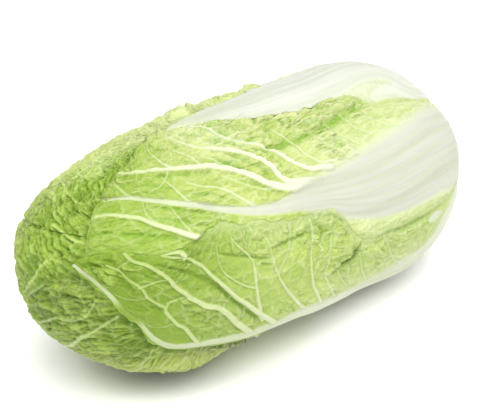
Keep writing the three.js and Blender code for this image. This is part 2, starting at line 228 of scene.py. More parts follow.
LEAVES = {
    "outer_leaf_1": dict(
        th0=240, order=0, seed=11, rows=dict(fine=0.80, coarse=1.7, start=90), cols=(190, [(0, 1.0), (1, 1.0)]),
        hi=[(0, 35), (70, 34), (100, 34), (126, 34.3), (144, 33.5), (155, 36), (158, 41.5), (161, 46), (166, 51.5), (172, 55.5), (188, 58), (205, 60.3), (217, 62), (238, 66), (261, 67), (285, 64), (295, 59.5), (302, 54.5), (312, 48), (327, 41), (336, 38.5), (346, 35), (352, 32.5), (357, 29.5), (360, 25.5), (362, 20)],
        grain=(7.0, 9.0), calm=[(327, 21.5, 9.0), (286, 12, 8.0)], hug=[(1, -20, 150, 0.85), (-1, -20, 420, 0.9), (1, 140, 310, 0.8), (1, 300, 420, 0.7)], edge_crumple=0.1, lift=0.5, net=(0.34, 0.16), rim_fade=[(1, 40, 300, 6.0)], plain=[(-1, 90, 300)], gaps=[(318, 10, 0.85)],
        bare=[(3.2, [(76, 26.0), (92, 27.0)])],
        lo=[(0, -37), (45, -35), (77, -30.5), (103, -26), (127, -20.8), (141, -16), (154, -11.3), (174, -9.5), (192, -5.8), (210, -3.6), (228, -1.6), (246, -1), (262, -0.9), (276, -1.2), (289, 0), (299, 4.3), (308, 10), (317, 13), (328, 16.2), (338, 18.4), (348, 19.2), (357, 18.5), (362, 20)],
        pet=[(0, 0, 34), (45, -0.5, 32.5), (65, -3, 30), (72, -5, 27), (77, -7.5, 22), (89, -9, 18.5), (103, -8, 17), (115, -7, 15), (127, -7, 12.8), (141, -5, 10.2), (154, -2.5, 7.8), (174, -0.5, 8.0), (192, 2.5, 7.3), (210, 4, 6.6), (228, 4.8, 5.4), (246, 4.7, 4.7), (262, 4.2, 4.2), (276, 2.8, 3.2), (289, 3, 2.4), (299, 7, 1.9), (308, 12.3, 1.4), (317, 15, 1.0), (328, 18.3, 1.15), (338, 20.6, 1.15), (348, 21.4, 1.1), (357, 20.6, 0.9), (362, 20, 0.7)],
        body=[(0, 0, 34), (100, 0, 31), (130, -3, 24), (161, -4, 16), (191, -1, 12), (223, 3, 8), (262, 4, 5), (362, 20, 1)],
        folds=[
            (1.2, 1.6, 0.9, [(222, 49.6), (208, 49.3), (194, 49.2)]),
            (1.0, 1.2, 0.7, [(272, 51.5), (244, 49.8), (224, 46.0)]),
            (0.9, 1.0, 0.6, [(232, 45.2), (225, 42.8)]),
            (1.5, 1.9, 0.95, [(320, 38.6), (316, 39.0), (301, 40.1), (276, 38.4), (255, 29.9), (235, 17.2), (226, 12)]),
            (1.2, 1.3, 0.8, [(311, 43), (307, 43.0), (298, 44.3)]),
            (1.15, 3.2, 2.3, [(174, 20.5), (171, 22.9), (166, 24.9), (160, 27.0), (157, 31.5), (153, 34)]),
            (1.5, 1.4, 0.9, [(150, 33.2), (137, 31.8), (127, 31.6), (118, 30.4), (104, 30.6), (90, 30.8), (78, 31.0)]),
            (0.9, 1.0, 0.6, [(231, 49.4), (225, 46.9)]),
            (3.4, 1.7, 0.85, [(337, 28.6), (323, 25.1)]),
            (1.3, 1.2, 0.6, [(309, 21.7), (301, 21.3)]),
            (1.2, 1.4, 0.8, [(351, 29.1), (345, 30.9)]),
            (1.4, 1.5, 0.9, [(357, 23.0), (350, 27.0)]),
            (1.0, 1.0, 0.6, [(188, 53), (182, 47), (180, 43)]),
            (0.9, 1.0, 0.6, [(262, 57), (256, 51), (246, 53)]),
            (0.9, 0.9, 0.5, [(345, 33.4), (330, 33.0), (318, 32.6)]),
            (0.9, 0.9, 0.5, [(300, 29.0), (283, 24.5), (268, 19.5)]),
        ],
        veins=[
            (1.8, 1.3, [(303, 46.0), (310, 47.0), (322, 43.0)]),
            (2.3, 0.8, [(230, 3.5), (236, 7.2), (260, 24.3), (277, 28.3), (290, 30.7), (309, 35.4), (325, 36.5), (336, 35.3), (351, 35.7), (365, 33.6)]),
            (2.1, 0.8, [(209, 3), (217, 7.3), (234, 19.6), (255, 32.5), (271, 40.2), (291, 45.4), (303, 45.5), (321, 42.4)]),
            (1.5, 0.6, [(262, 4), (270, 6.1), (282, 14.2), (290, 16.6), (299, 21.6), (300, 23.3), (313, 25.2), (321, 28.0), (331, 28.7), (338, 29.5), (346, 28.5)]),
            (0.9, 0.5, [(300, 23.3), (299, 26.2), (291, 29.3), (288, 30.5)]),
            (0.9, 0.5, [(321, 28.0), (316, 31.2), (310, 34.1), (306, 34.8)]),
            (1.5, 0.5, [(230, 14.6), (234, 19.6), (238, 34.1), (239, 44.8), (241, 49.5), (253, 56.0), (260, 59)]),
            (1.5, 0.5, [(181, -4.5), (196, 8.7), (213, 25.3), (221, 37.1), (223, 46.4), (223, 50.9), (226, 57)]),
            (1.5, 0.5, [(174, -3), (178, 1.8), (190, 18.8), (194, 32.5), (192, 40.9), (189, 46.7), (190, 55)]),
            (1.1, 0.45, [(154, -6), (166, 2.6), (176, 13.8), (180, 21.9), (178, 27.7), (176, 37.8), (172, 47)]),
            (0.8, 0.4, [(132, -12), (154, 2.9), (167, 16.3), (171, 22)]),
            (0.8, 0.4, [(126, -4.9), (139, 4.2), (151, 18.6), (155, 28)]),
            (0.6, 0.4, [(112, 6), (122, 14), (130, 24), (134, 31)]),
            (0.7, 0.4, [(221, 37.1), (214, 42), (207, 49), (205, 57)]),
            (0.6, 0.35, [(213, 25.3), (204, 30), (194, 32.5)]),
            (0.7, 0.4, [(238, 34.1), (246, 36), (258, 40), (268, 46), (276, 55)]),
            (0.6, 0.35, [(255, 32.5), (262, 28), (262, 25)]),
            (0.6, 0.35, [(284, 44), (280, 50), (281, 56)]),
            (0.6, 0.35, [(247, 20), (243, 27), (247, 29)]),
            (0.6, 0.35, [(336, 35.3), (340, 31), (338, 29.5)]),
            (0.6, 0.35, [(290, 16.6), (300, 13), (312, 15)]),
            (0.6, 0.35, [(313, 25.2), (322, 21.5), (332, 21)]),
        ]),
    "outer_leaf_2": dict(
        th0=304, order=1, seed=23, rows=dict(fine=0.66, coarse=1.7, start=120), cols=(216, [(0, 0.35), (0.36, 0.45), (0.47, 1.0), (1, 1.0)]),
        pet_soft=(6.0, 12.0), pale=23.0, net=(0.32, 0.18), spots=[(225, 61, 20), (215, 46, 20), (58, 26, 20), (80, 31, 13)], rim_fade=[(1, 50, 245, 4.0)],
        lively=[(118, 34, 11, 1.0), (135, 34, 11, 1.0), (152, 34, 12, 1.0), (170, 34, 12, 1.0), (190, 36, 13, 1.0), (205, 46, 14, 0.9), (215, 54, 12, 0.8)],
        hi=[(0, 33), (45, 29), (59, 28), (67, 30), (77, 31), (88, 31.5), (100, 31.5), (104, 34.5), (109, 39.5), (115, 40.5), (135, 41.5), (155, 42), (170, 45), (184, 50.5), (195, 54), (212, 60), (240, 66), (262, 66), (281, 58), (304, 40), (314, 27), (320, 17), (325, 8), (329, -4)],
        grain=(5.5, 20.0), crumple=0.95, hug=[(1, -20, 130, 0.6)],
        folds=[
            (1.6, 1.5, 0.85, [(322, 13.6), (318, 13.3), (308, 11.7)]),
            (1.5, 1.5, 0.8, [(308, 10.7), (295, 9.0), (284, 5.5), (276, 3)]),
            (1.5, 1.4, 0.8, [(284, 31.5), (282, 31.0), (275, 28.9), (266, 25.5)]),
            (1.1, 1.1, 0.7, [(284, 26.9), (280, 26.4), (268, 25.2)]),
            (1.5, 1.3, 0.8, [(257, 20.6), (255, 20.3), (247, 17.8), (238, 13.4)]),
            (1.2, 1.2, 0.75, [(285, 19.8), (279, 18.6), (265, 14.5), (246, 7.0)]),
            (1.2, 1.2, 0.7, [(283, 14.2), (281, 13.6), (270, 10.2), (255, 4.8)]),
            (1.2, 1.2, 0.6, [(291, 7.2), (289, 6.8), (281, 5.7), (272, 1.4)]),
            (3.0, 2.9, 1.0, [(196, 29.6), (186, 29.5), (178, 29.2), (170, 28.8), (160, 29.2), (152, 29.6)]),
            (2.8, 3.0, 1.0, [(160, 29.2), (145, 29.5), (135, 30.4), (126, 31.5), (117, 31.8), (110, 33.2), (106, 36)]),
            (1.9, 1.6, 0.95, [(240, 34.6), (237, 34.1), (227, 30.7), (219, 24.5), (213, 20.3)]),
            (1.6, 1.4, 0.8, [(228, 38.0), (224, 36.5), (214, 29.1), (207, 22.8), (203, 15.8)]),
            (1.1, 1.1, 0.7, [(221, 41.8), (219, 41.0), (207, 35.4)]),
            (1.2, 1.2, 0.8, [(203, 32.7), (201, 31.7), (193, 26.8)]),
            (1.1, 1.2, 0.8, [(183, 50.0), (186, 44.2)]), (1.1, 1.2, 0.7, [(177, 47.2), (183, 38.4)]),
            (1.5, 1.4, 0.9, [(172, 41.4), (169, 37.9)]), (1.0, 1.1, 0.8, [(156.5, 42.0), (155, 37.9)]), (1.0, 1.1, 0.7, [(153.5, 36.2), (151, 32.5)]),
            (1.2, 1.2, 0.7, [(278, 35.2), (276, 34.9), (258, 32.2), (238, 27.8)]),
            (1.0, 1.1, 0.7, [(268, 58), (262, 52), (250, 47)]), (1.0, 1.1, 0.7, [(236, 60), (228, 54), (224, 47)]),
            (1.0, 1.0, 0.6, [(206, 54), (200, 47), (193, 41)]),
        ],
        lo=[(0, -37), (70, -42), (130, -56), (190, -64), (250, -62), (290, -46), (312, -28), (325, -12), (329, -4)],
        pet=[(0, -3, 31), (46, -4, 28), (65, -3.5, 26), (78, -3.5, 23.5), (116, -5.6, 21.2), (142, -5.5, 18.4), (160, -4, 15), (175, -1.5, 11), (189, 0, 7.4), (200, 0.8, 4.6), (211, 1.5, 3.6), (226, 4.1, 2.8), (242, 8.9, 2.3), (256, 14.9, 2.0), (262, 16.7, 1.85), (278, 21.7, 1.6), (295, 25.7, 1.2), (314, 26.4, 0.8), (329, 26, 0.6)],
        veins=[
            (1.0, 0.5, [(157, 10.8), (166, 12.2), (169, 15.3), (172, 20.4), (173, 28), (178, 38)]),
            (2.0, 0.8, [(163, 8.5), (170, 10), (177, 11.6), (184, 19.1), (192, 29.0), (203, 36.6), (212, 44.1), (214, 53.0), (222, 60)]),
            (2.5, 0.9, [(175, 5), (185, 7.0), (197, 10.8), (200, 20.2), (208, 28.9), (220, 36.4), (231, 41.9), (239, 50.4), (243, 60)]),
            (3.1, 1.1, [(175, 2), (183, 4.6), (195, 6.7), (204, 10.4), (215, 17.8), (227, 26.2), (241, 31.3), (263, 36.5), (286, 38.1), (302, 39.8)]),
            (1.0, 0.5, [(238, 30.5), (241, 36), (243, 40.6), (250, 47)]),
            (1.2, 0.5, [(258, 36), (264, 40.2), (268, 47), (270, 52.3), (268, 63.6)]),
            (1.1, 0.5, [(217, 2.0), (221, 2.8), (225, 5.7), (232, 13.8), (240, 19.8), (249, 23.6), (256, 27)]),
            (1.1, 0.5, [(290, 25), (296, 26.7), (306, 35.6)]),
            (0.9, 0.45, [(258, 16), (261, 18.0), (267, 28.7), (270, 34)]),
            (2.5, 1.0, [(234, -14), (243, -10), (252, -5.5), (265, 1.9), (278, 8.6), (292, 15.2), (304, 18.4), (320, 19)]),
            (0.8, 0.4, [(265, 1.9), (270, 10), (273, 18)]),
            (0.8, 0.4, [(280, 9.5), (287, 16), (288, 22)]),
            (0.7, 0.4, [(204, 10.4), (212, 11), (224, 18), (232, 24)]),
            (0.7, 0.4, [(222, 24), (229, 33), (236, 38)]),
            (0.7, 0.4, [(263, 36.5), (272, 30), (282, 27)]),
            (0.6, 0.4, [(290, 38.4), (296, 45), (296, 46)]),
            (0.5, 0.35, [(120, 15), (126, 22), (129, 32)]), (0.5, 0.35, [(134, 13.5), (140, 22), (143, 32)]),
            (0.5, 0.35, [(147, 12), (153, 21), (157, 33)]), (0.5, 0.35, [(105, 17), (111, 23), (114, 33)]),
        ]),
    "outer_leaf_3": dict(
        th0=92, order=2, seed=37, rows=dict(fine=0.82, coarse=2.2, start=120), cols=(184, [(0, 1.5), (0.35, 1.2), (0.6, 0.8), (1, 0.8)]),
        lift=0.5, hug=[(-1, 90, 238, 0.9), (1, 0, 420, 0.9)], swell=[(-1, 120, 230, 3.6, 7.0)], net=(0.42, 0.36),
        hi=[(0, 37), (70, 40), (130, 46), (175, 56), (220, 60), (270, 58), (310, 46), (340, 26), (359, 6), (376, -1), (392, -7), (402, -15), (410, -30)],
        lo=[(0, -37), (76, -47), (113, -56), (130, -63), (145, -67), (158, -69), (186, -69.5), (196, -72), (212, -74.5), (226, -77.5), (240, -81), (257, -85), (300, -85), (350, -75), (375, -63), (395, -50), (410, -30)],
        pet=[(m, -c, h) for m, c, h in [(0, 0, 25), (60, 0, 24), (120, 0, 18), (170, 1, 11.5), (200, 2, 7), (230, 5, 4.2), (270, 10, 2.6), (310, 15, 1.3), (335, 18, 0.5), (350, 20, 0.25), (370, 22, 0.2), (410, 26, 0.2)]],
        veins=[
            (1.0, 0.7, [(374, -24.8), (378, -24.3), (389, -22.9), (401, -22.5)]), (0.7, 0.4, [(361, -30.2), (369, -28.6), (378, -26.3)]),
            (0.9, 0.5, [(346, -47.5), (345, -50), (358, -52), (367, -50.5)]), (0.9, 0.5, [(349, -44.5), (365, -46), (368, -49), (379, -50)]), (0.9, 0.5, [(335, -52), (345, -54.5), (355, -56), (350, -60), (345, -63.5)]),
            (0.8, 0.5, [(353, -38.1), (350, -44), (346, -47.5), (335, -52), (322, -58)]), (0.8, 0.4, [(367, -50.5), (362, -46), (371, -35.9)]),
            (1.0, 0.7, [(382, -12.8), (377, -9.5), (372, -4), (357, 5)]),
            (1.4, 0.6, [(255, -10), (285, -26), (310, -34), (335, -38), (353, -38.1), (371, -35.9), (387, -35.6)]),
            (0.9, 0.5, [(335, -38), (352, -33.1), (369, -30.4), (380, -28)]),
        ], grain=(5.2, 12.0), turn=32.0, cord=(0, 4.2, 1.5, 305, 345), sink=0.35, rim_fade=[(1, 330, 400, 2.2)], vein_white=1.0, shade=0.75, spots=[(150, -66, 26), (182, -70, 27), (214, -73, 28), (246, -78, 28), (278, -80, 28), (308, -76, 24), (330, -64, 22), (346, -56, 18), (362, -50, 10)], ridges=[(1.8, 3.2, [(336, -30.5), (344, -32.5), (352, -33.5)])], crumple=0.95, rough=[(290, 1.2), (350, 1.4)], gaps=[(375, 42, 1.0)],
        folds=[(2.6, 3.0, 1.6, [(386, -16.8), (391, -16.2)]), (2.8, 3.0, 1.6, [(389, -14.7), (396, -13.5)]), (2.8, 2.4, 1.3, [(390, -37.0), (396, -36.4)]), (2.0, 2.6, 1.5, [(398, -29), (402, -24.5), (404, -20)]), (1.6, 1.6, 1.1, [(377, -24.0), (380, -20.5)]), (1.5, 1.5, 0.9, [(363, -28), (372, -24.8)]),
               (4.0, 1.4, 0.45, [(292, -68), (318, -63.5), (340, -59.5), (360, -54.5), (373, -49), (384, -43)]), (1.6, 1.6, 1.0, [(392, -31), (396, -33.5)]),
               (2.2, 2.0, 0.8, [(388, -41.5), (395, -42.2)]), (2.2, 2.0, 0.8, [(391, -32.0), (398, -32.4)])],
        auto=dict(step=21, skip=[(-1, 250, 420), (1, 290, 420)])),
    "outer_leaf_4": dict(
        th0=164, order=3, seed=41, rows=dict(fine=0.95, coarse=2.4, start=130), cols=(150, [(0, 0.6), (0.45, 0.9), (0.6, 1.4), (1, 1.4)]),
        hi=[(0, 37), (70, 40), (130, 46), (175, 60), (220, 74), (250, 80), (300, 78), (336, 62), (368, 48), (388, 38), (402, 26), (413, 6)],
        lo=[(0, -37), (70, -40), (130, -46), (175, -60), (220, -70), (290, -72), (335, -60), (365, -46), (390, -28), (404, -12), (413, 6)],
        pet=[(0, 0, 25), (60, 0, 24), (120, 0, 18), (170, 0, 11.5), (200, 0, 7), (230, 0, 4.2), (270, -1, 2.8), (320, -3, 1.6), (357, -4.6, 0.9), (376, 2.4, 0.7), (386, 4.1, 0.6), (395, 4.2, 0.5), (413, 5, 0.4)],
        veins=[
            (1.9, 0.7, [(292, -2), (312, 5), (325, 9), (336, 12.9), (354, 19.6), (368, 24.6), (384, 29.6)]),
            (0.9, 0.5, [(349, 4), (356, 8), (363, 11.5), (366, 15.5), (370, 18), (377, 20.5), (385, 21.5), (391, 22)]),
            (1.2, 0.5, [(255, 1), (280, 14), (300, 26), (318, 34), (335, 40), (352, 43)]),
        ], grain=(11.0, 4.6), turn=-28.0, cord=(1, 4.2, 1.5, 300, 330), sink=0.35, lift=0.35, hug=[(1, 150, 262, 0.9)], vein_white=1.0, shade=1.0, net=(0.42, 0.34), ridges=[(2.2, 2.0, [(380, 1.5), (384, 7), (388, 12), (391, 17), (392, 21)])], crumple=1.05, rough=[(290, 1.2), (350, 1.5)],
        folds=[(1.6, 2.2, 1.0, [(383, 0.5), (384, 2.4), (386, 6.8), (387, 12.0)]), (2.2, 1.4, 0.9, [(391, 21.5), (394, 25.8)]), (1.5, 1.6, 0.9, [(393, 26.0), (385, 33.0)])],
        auto=dict(step=22, skip=[(1, 245, 380)])),
    "outer_leaf_5": dict(
        th0=359, order=4, seed=53, rows=dict(fine=0.8, coarse=2.0, start=110), cols=(150, [(0, 1.0), (0.5, 1.0), (0.8, 0.8), (1, 0.6)]),
        hi=[(0, 37), (70, 40), (130, 46), (175, 58), (220, 64), (270, 62), (305, 48), (325, 26), (334, 8)],
        lo=[(0, -37), (70, -40), (130, -44), (175, -54), (220, -60), (270, -60), (305, -40), (325, -12), (334, 8)],
        bare=[(6.5, [(30, -22), (60, -21.5), (80, -21), (101, -20)]), (4.0, [(84, -24.0), (98, -21.5)])],
        pet_soft=(5.0, 3.2), dim=(196, 226),
        pet=[(0, 1, 30), (46, -1, 27), (62, 2, 23.5), (74, 6.5, 18.5), (100, 6.5, 18.5), (113, 5.8, 20.3), (135, 5, 20.5), (155, 6.5, 19.5), (174, 9, 19.0), (195, 12, 13.5), (213, 15, 10.4), (235, 18.5, 6.2), (262, 21, 3.8), (300, 22, 2.2), (334, 22, 1.0)],
        veins=[
            (1.2, 0.5, [(185, -1), (196, -3.8), (208, -3.8), (222, -2.0), (240, -1), (262, -4)]),
            (1.2, 0.5, [(208, 6), (222, 9), (236, 9.5), (252, 7), (272, 5)]),
            (0.9, 0.5, [(150, -12), (162, -20), (172, -32), (180, -44)]),
        ], auto=dict(step=20, skip=[(-1, 0, 250)])),
    "wrapper_leaf_6": dict(th0=212, order=5, seed=61, hi=TIP_HI, lo=neg(TIP_HI), pet=STD_PET, veins=[], auto=dict(step=24)),
    "wrapper_leaf_7": dict(th0=66, order=6, seed=67, hi=TIP_HI, lo=neg(TIP_HI), pet=STD_PET, veins=[], auto=dict(step=24)),
    "wrapper_leaf_8": dict(th0=283, order=7, seed=71, hi=TIP_HI, lo=neg(TIP_HI), pet=STD_PET, veins=[], auto=dict(step=24)),
    "wrapper_leaf_9": dict(th0=138, order=8, seed=73, hi=TIP_HI, lo=neg(TIP_HI), pet=STD_PET, veins=[], auto=dict(step=24)),
    "wrapper_leaf_10": dict(th0=352, order=9, seed=79, hi=TIP_HI, lo=neg(TIP_HI), pet=STD_PET, veins=[], auto=dict(step=24)),
}
THICK = np.array([(0, 3.2), (14, 5.6), (45, 7.2), (110, 6.2), (180, 4.2), (240, 2.6), (310, 1.6), (420, 1.2)])
EDGE, BLADE_T, CLEAR = 0.35, 1.0, 0.45


def curve(table, m, col=1, sigma=3.0):
    """Smoothed table lookup."""
    t = np.array(table, float)
    g = np.arange(t[0, 0] - 30, t[-1, 0] + 30, 1.0)
    v = np.interp(g, t[:, 0], t[:, col])
    if sigma > 0:
        k = np.exp(-0.5 * (np.arange(-12, 13) / sigma) ** 2); k /= k.sum()
        v = np.convolve(np.pad(v, 12, mode="edge"), k, mode="valid")
    return np.interp(m, g, v)


def ring_radius(m):
    """Scale from angle to distance across the leaf (mm per radian)."""
    s = TOTAL - m
    el = np.interp(np.abs(s), CAP_S, CAP_E)
    return np.where(s >= S_CAP, np.interp(s, PS, PR), ray_cap(el))


def frill(L, m, side):
    """Waver of the margin, in degrees."""
    seed = L["seed"]
    z = np.full_like(m, side * 3.3 + 1.0)
    f = noise2(m / 15, z, seed + 20) * 2.3 + noise2(m / 6.2, z, seed + 21) * 1.5 + noise2(m / 2.9, z, seed + 22) * 0.8
    taper = sm((L["hi"][-1][0] - m) / 18) * sm(m / 25)
    for s, p0, p1 in L.get("plain", []):
        if s == side:
            taper = taper * (1 - 0.85 * sm((m - p0) / 12) * sm((p1 - m) / 12))
    return f * (0.35 + 0.65 * sm((m - 60) / 60)) * taper / (ring_radius(m) * D2R)


def margins(L, m):
    m = np.asarray(m, float)
    return curve(L["lo"], m) - frill(L, m, -1), curve(L["hi"], m) + frill(L, m, 1)


def inside_mm(L, m, b):
    """Distance in from the leaf's plain margin (mm), negative outside."""
    lo, hi = margins(L, m)
    slo = (curve(L["lo"], m + 1) - curve(L["lo"], m - 1)) / 2
    shi = (curve(L["hi"], m + 1) - curve(L["hi"], m - 1)) / 2
    k = ring_radius(m) * D2R
    a = (hi - b) * k / np.sqrt(1 + (shi * k) ** 2)
    c = (b - lo) * k / np.sqrt(1 + (slo * k) ** 2)
    d = np.minimum(a, c)
    end = L["hi"][-1][0]
    d = np.where(m > end, -np.hypot(m - end, (b - L["hi"][-1][1]) * k), d)
    return np.where(np.abs(b) > 89.5, -60.0, d)


def petiole(L, m, b):
    """Offset from the petiole's middle in petiole half widths, and the half width (mm)."""
    c = curve(L["pet"], m, 1, 2.0); h = curve(L["pet"], m, 2, 2.0)
    return (b - c) / h, h * D2R * ring_radius(m)


def thickness(L, m, b, sd):
    q, hw = petiole(L, m, b)
    full = np.interp(m, THICK[:, 0], THICK[:, 1])
    t = BLADE_T + (full - BLADE_T) * sm(1.9 - np.abs(q))
    return np.minimum(t, EDGE + np.clip(sd, 0, None) * 0.22 + 0.0) if sd is not None else t


def hump(P):
    """0 in the valleys between the petioles of the outer leaves, 1 on their crests."""
    best = np.zeros(P.shape[:-1])
    for n in ("outer_leaf_1", "outer_leaf_2", "outer_leaf_3", "outer_leaf_4", "outer_leaf_5"):
        L = LEAVES[n]
        m, b = leaf_coords(P, L["th0"])
        body = L.get("body", L["pet"])
        c = curve(body, m, 1, 6.0); h = curve(body, m, 2, 6.0) + 9
        best = np.maximum(best, 1 - np.clip(np.abs(b - c) / h, 0, 1) ** 2.2)
    return best


def common_depth(P):
    """Depth shared by all leaves: an inset, the valleys between petioles, and a slow unevenness."""
    x = P[..., 0]
    valley = 4.8 * sm((x + 58) / 60) * (1 - 0.3 * sm((x - 105) / 45))
    uneven = noise3(P[..., 0] / 46 + 5, P[..., 1] / 40 + 3, P[..., 2] / 40 + 9, 3) * 1.6 + noise3(P[..., 0] / 21, P[..., 1] / 19, P[..., 2] / 19, 4) * 0.7
    uneven = uneven * (1 - 0.65 * sm((x - 10) / 50))
    # beside the front leaf: its upper edge meets the next petiole flush, and the head draws in under its midrib
    m, b = leaf_coords(P, LEAVES["outer_leaf_1"]["th0"])
    fill = 0.8 * np.exp(-((b - 30) / 13.0) ** 4) * sm((m - 15) / 30) * sm((185 - m) / 35)
    tuck = np.interp(m, [95, 125, 150, 175, 200, 238], [0, 1.5, 5.0, 7.6, 7.2, 6.6]) * sm((300 - m) / 17) * (1 - sm((m - 226) / 40) * sm((-5 - b) / 8)) * sm((np.interp(m, [120, 150, 175, 200, 240], [-4, -2, 1, 1, -1]) - b) / 7.0) * sm((b + 46) / 14.0)
    end = 4.4 * sm((-42 - x) / 55) - 1.9 * sm((-108 - x) / 34)
    end = end - 1.3 * sm((-98 - x) / 24) * sm((P[..., 2] - 5) / 32)
    towards = (-0.975 * (x - TIP_CENTRE) + 0.04 * P[..., 1] - 0.21 * P[..., 2]) / np.maximum(np.sqrt((x - TIP_CENTRE) ** 2 + P[..., 1] ** 2 + P[..., 2] ** 2), 1.0)
    end = end - 3.0 * np.exp(-2 * np.clip(1 - towards, 0, None) / 0.19 ** 2)
    end = end - 2.0 * np.exp(-((m - 312) / 24) ** 2 - ((b + 28) / 20) ** 2)
    end = end - 3.4 * sm((m - 228) / 52) * sm((-5 - b) / 8) * sm((b + 58) / 20) * sm((318 - m) / 24)
    # the top leaf's petiole: a slight saddle, and a lower shoulder next to the front one
    mc, bc = leaf_coords(P, LEAVES["outer_leaf_5"]["th0"])
    end = end + 1.6 * np.exp(-((mc - 124) / 22) ** 2 - ((bc - 12) / 14) ** 2) + 3.8 * np.exp(-((mc - 49) / 16) ** 2 - ((bc + 17) / 13) ** 2)
    return 1.4 + valley * (1 - hump(P)) * (1 - fill) + uneven * (1 - 0.8 * sm((x - 120) / 30)) + tuck + end


def covering(P, order, above=None):
    """Depth taken by the leaves that lie over this one, how covered each point is (0..1), and the same with a wide border."""
    total = np.zeros(P.shape[:-1]); cover = np.zeros(P.shape[:-1]); wide = np.zeros(P.shape[:-1])
    for L in LEAVES.values():
        if L["order"] >= order or (above is not None and L["order"] <= above):
            continue
        m, b = leaf_coords(P, L["th0"])
        sd = inside_mm(L, m, b)
        t = thickness(L, m, b, np.maximum(sd, 0)) + CLEAR
        near = sm((sd + 0.1) / 2.4)
        total += t * near
        cover = np.maximum(cover, near); wide = np.maximum(wide, sm((sd + 6.0) / 6.5))
    return total, cover, wide


def rib_height(L, q, hw, m):
    """Low arch of a petiole above the blade (mm)."""
    arch = np.sqrt(np.clip(1 - np.clip(np.abs(q), 0, 1) ** 2, 0, 1))
    fading = 1 - 0.85 * sm((m - L["dim"][0] + 10) / 30) if "dim" in L else 1.0
    return arch * np.clip(hw * 0.34, 0.5, 2.4) * (1 - 0.35 * sm((hw - 5) / 12)) * fading


def under_height(P, order):
    """How high the petioles of the leaves below stand at each point: the upper leaf's margin is draped over them."""
    high = np.zeros(P.shape[:-1])
    for n, L in LEAVES.items():
        if L["order"] <= order or not n.startswith("outer"):
            continue
        m, b = leaf_coords(P, L["th0"])
        q, hw = petiole(L, m, b)
        h = rib_height(L, q, hw, m) * sm(inside_mm(L, m, b) / 4)
        high = np.maximum(high, h * (1 - covering(P, L["order"] , above=order)[1]))
    return high


def auto_veins(L):
    """Side veins for a leaf, or a part of one, that has none listed."""
    rs = np.random.RandomState(L["seed"])
    out = []
    a = L["auto"]
    end = L["hi"][-1][0]
    for side in (-1, 1):
        m0 = 78 + rs.rand() * 8
        while m0 < end - 34:
            reach = []
            fork = rs.rand() * 0.25 + 0.45
            lean = 26 + 26 * rs.rand() + 14 * (m0 < 150)
            pts = []
            for t in np.linspace(0, 1, 9):
                mm = m0 + lean * t + 24 * t * t
                lo, hi = margins(L, np.array([mm])); lim = (hi if side > 0 else lo)[0]
                c = curve(L["pet"], np.array([mm]), 1)[0]; h = curve(L["pet"], np.array([mm]), 2)[0]
                b0 = c + side * h * 0.9
                bb = b0 + (lim - b0) * 0.93 * t ** 0.85
                if mm < end - 3:
                    pts.append((mm, bb))
            if not any(side == s and s0 < m0 < s1 for s, s0, s1 in a.get("skip", [])) and len(pts) > 3:
                big = 1.6 - 0.7 * abs(m0 - 190) / 200
                out.append((big, 0.5, pts))
                k = int(len(pts) * fork)
                p = pts[k]
                for sgn in (-1, 1):
                    if rs.rand() < 0.7:
                        q = [(p[0], p[1])]
                        for t in (0.35, 0.7, 1.0):
                            mm = p[0] + (10 + 12 * t) * t + sgn * 9 * t
                            lo, hi = margins(L, np.array([mm])); lim = (hi if side > 0 else lo)[0]
                            q.append((mm, p[1] + (lim - p[1]) * (0.85 if sgn < 0 else 0.6) * t))
                        if q[-1][0] < end - 3:
                            out.append((0.8, 0.4, q))
            m0 += a["step"] * (0.8 + 0.5 * rs.rand())
    return out


def resample(pts, step=1.2):
    """Smooth curve through control points (Catmull-Rom), about evenly spaced."""
    p = np.array(pts, float)
    if len(p) < 3:
        n = max(2, int(np.hypot(*(p[-1] - p[0])) / step))
        return p[0] + (p[-1] - p[0]) * np.linspace(0, 1, n)[:, None]
    q = np.vstack([2 * p[0] - p[1], p, 2 * p[-1] - p[-2]])
    out = []
    for i in range(1, len(q) - 2):
        n = max(2, int(np.hypot(*(q[i + 1] - q[i])) / step))
        t = np.linspace(0, 1, n, endpoint=False)[:, None]
        out.append(0.5 * (2 * q[i] + (q[i + 1] - q[i - 1]) * t + (2 * q[i - 1] - 5 * q[i] + 4 * q[i + 1] - q[i + 2]) * t * t + (-q[i - 1] + 3 * q[i] - 3 * q[i + 1] + q[i + 2]) * t ** 3))
    out.append(p[-1:])
    return np.vstack(out)


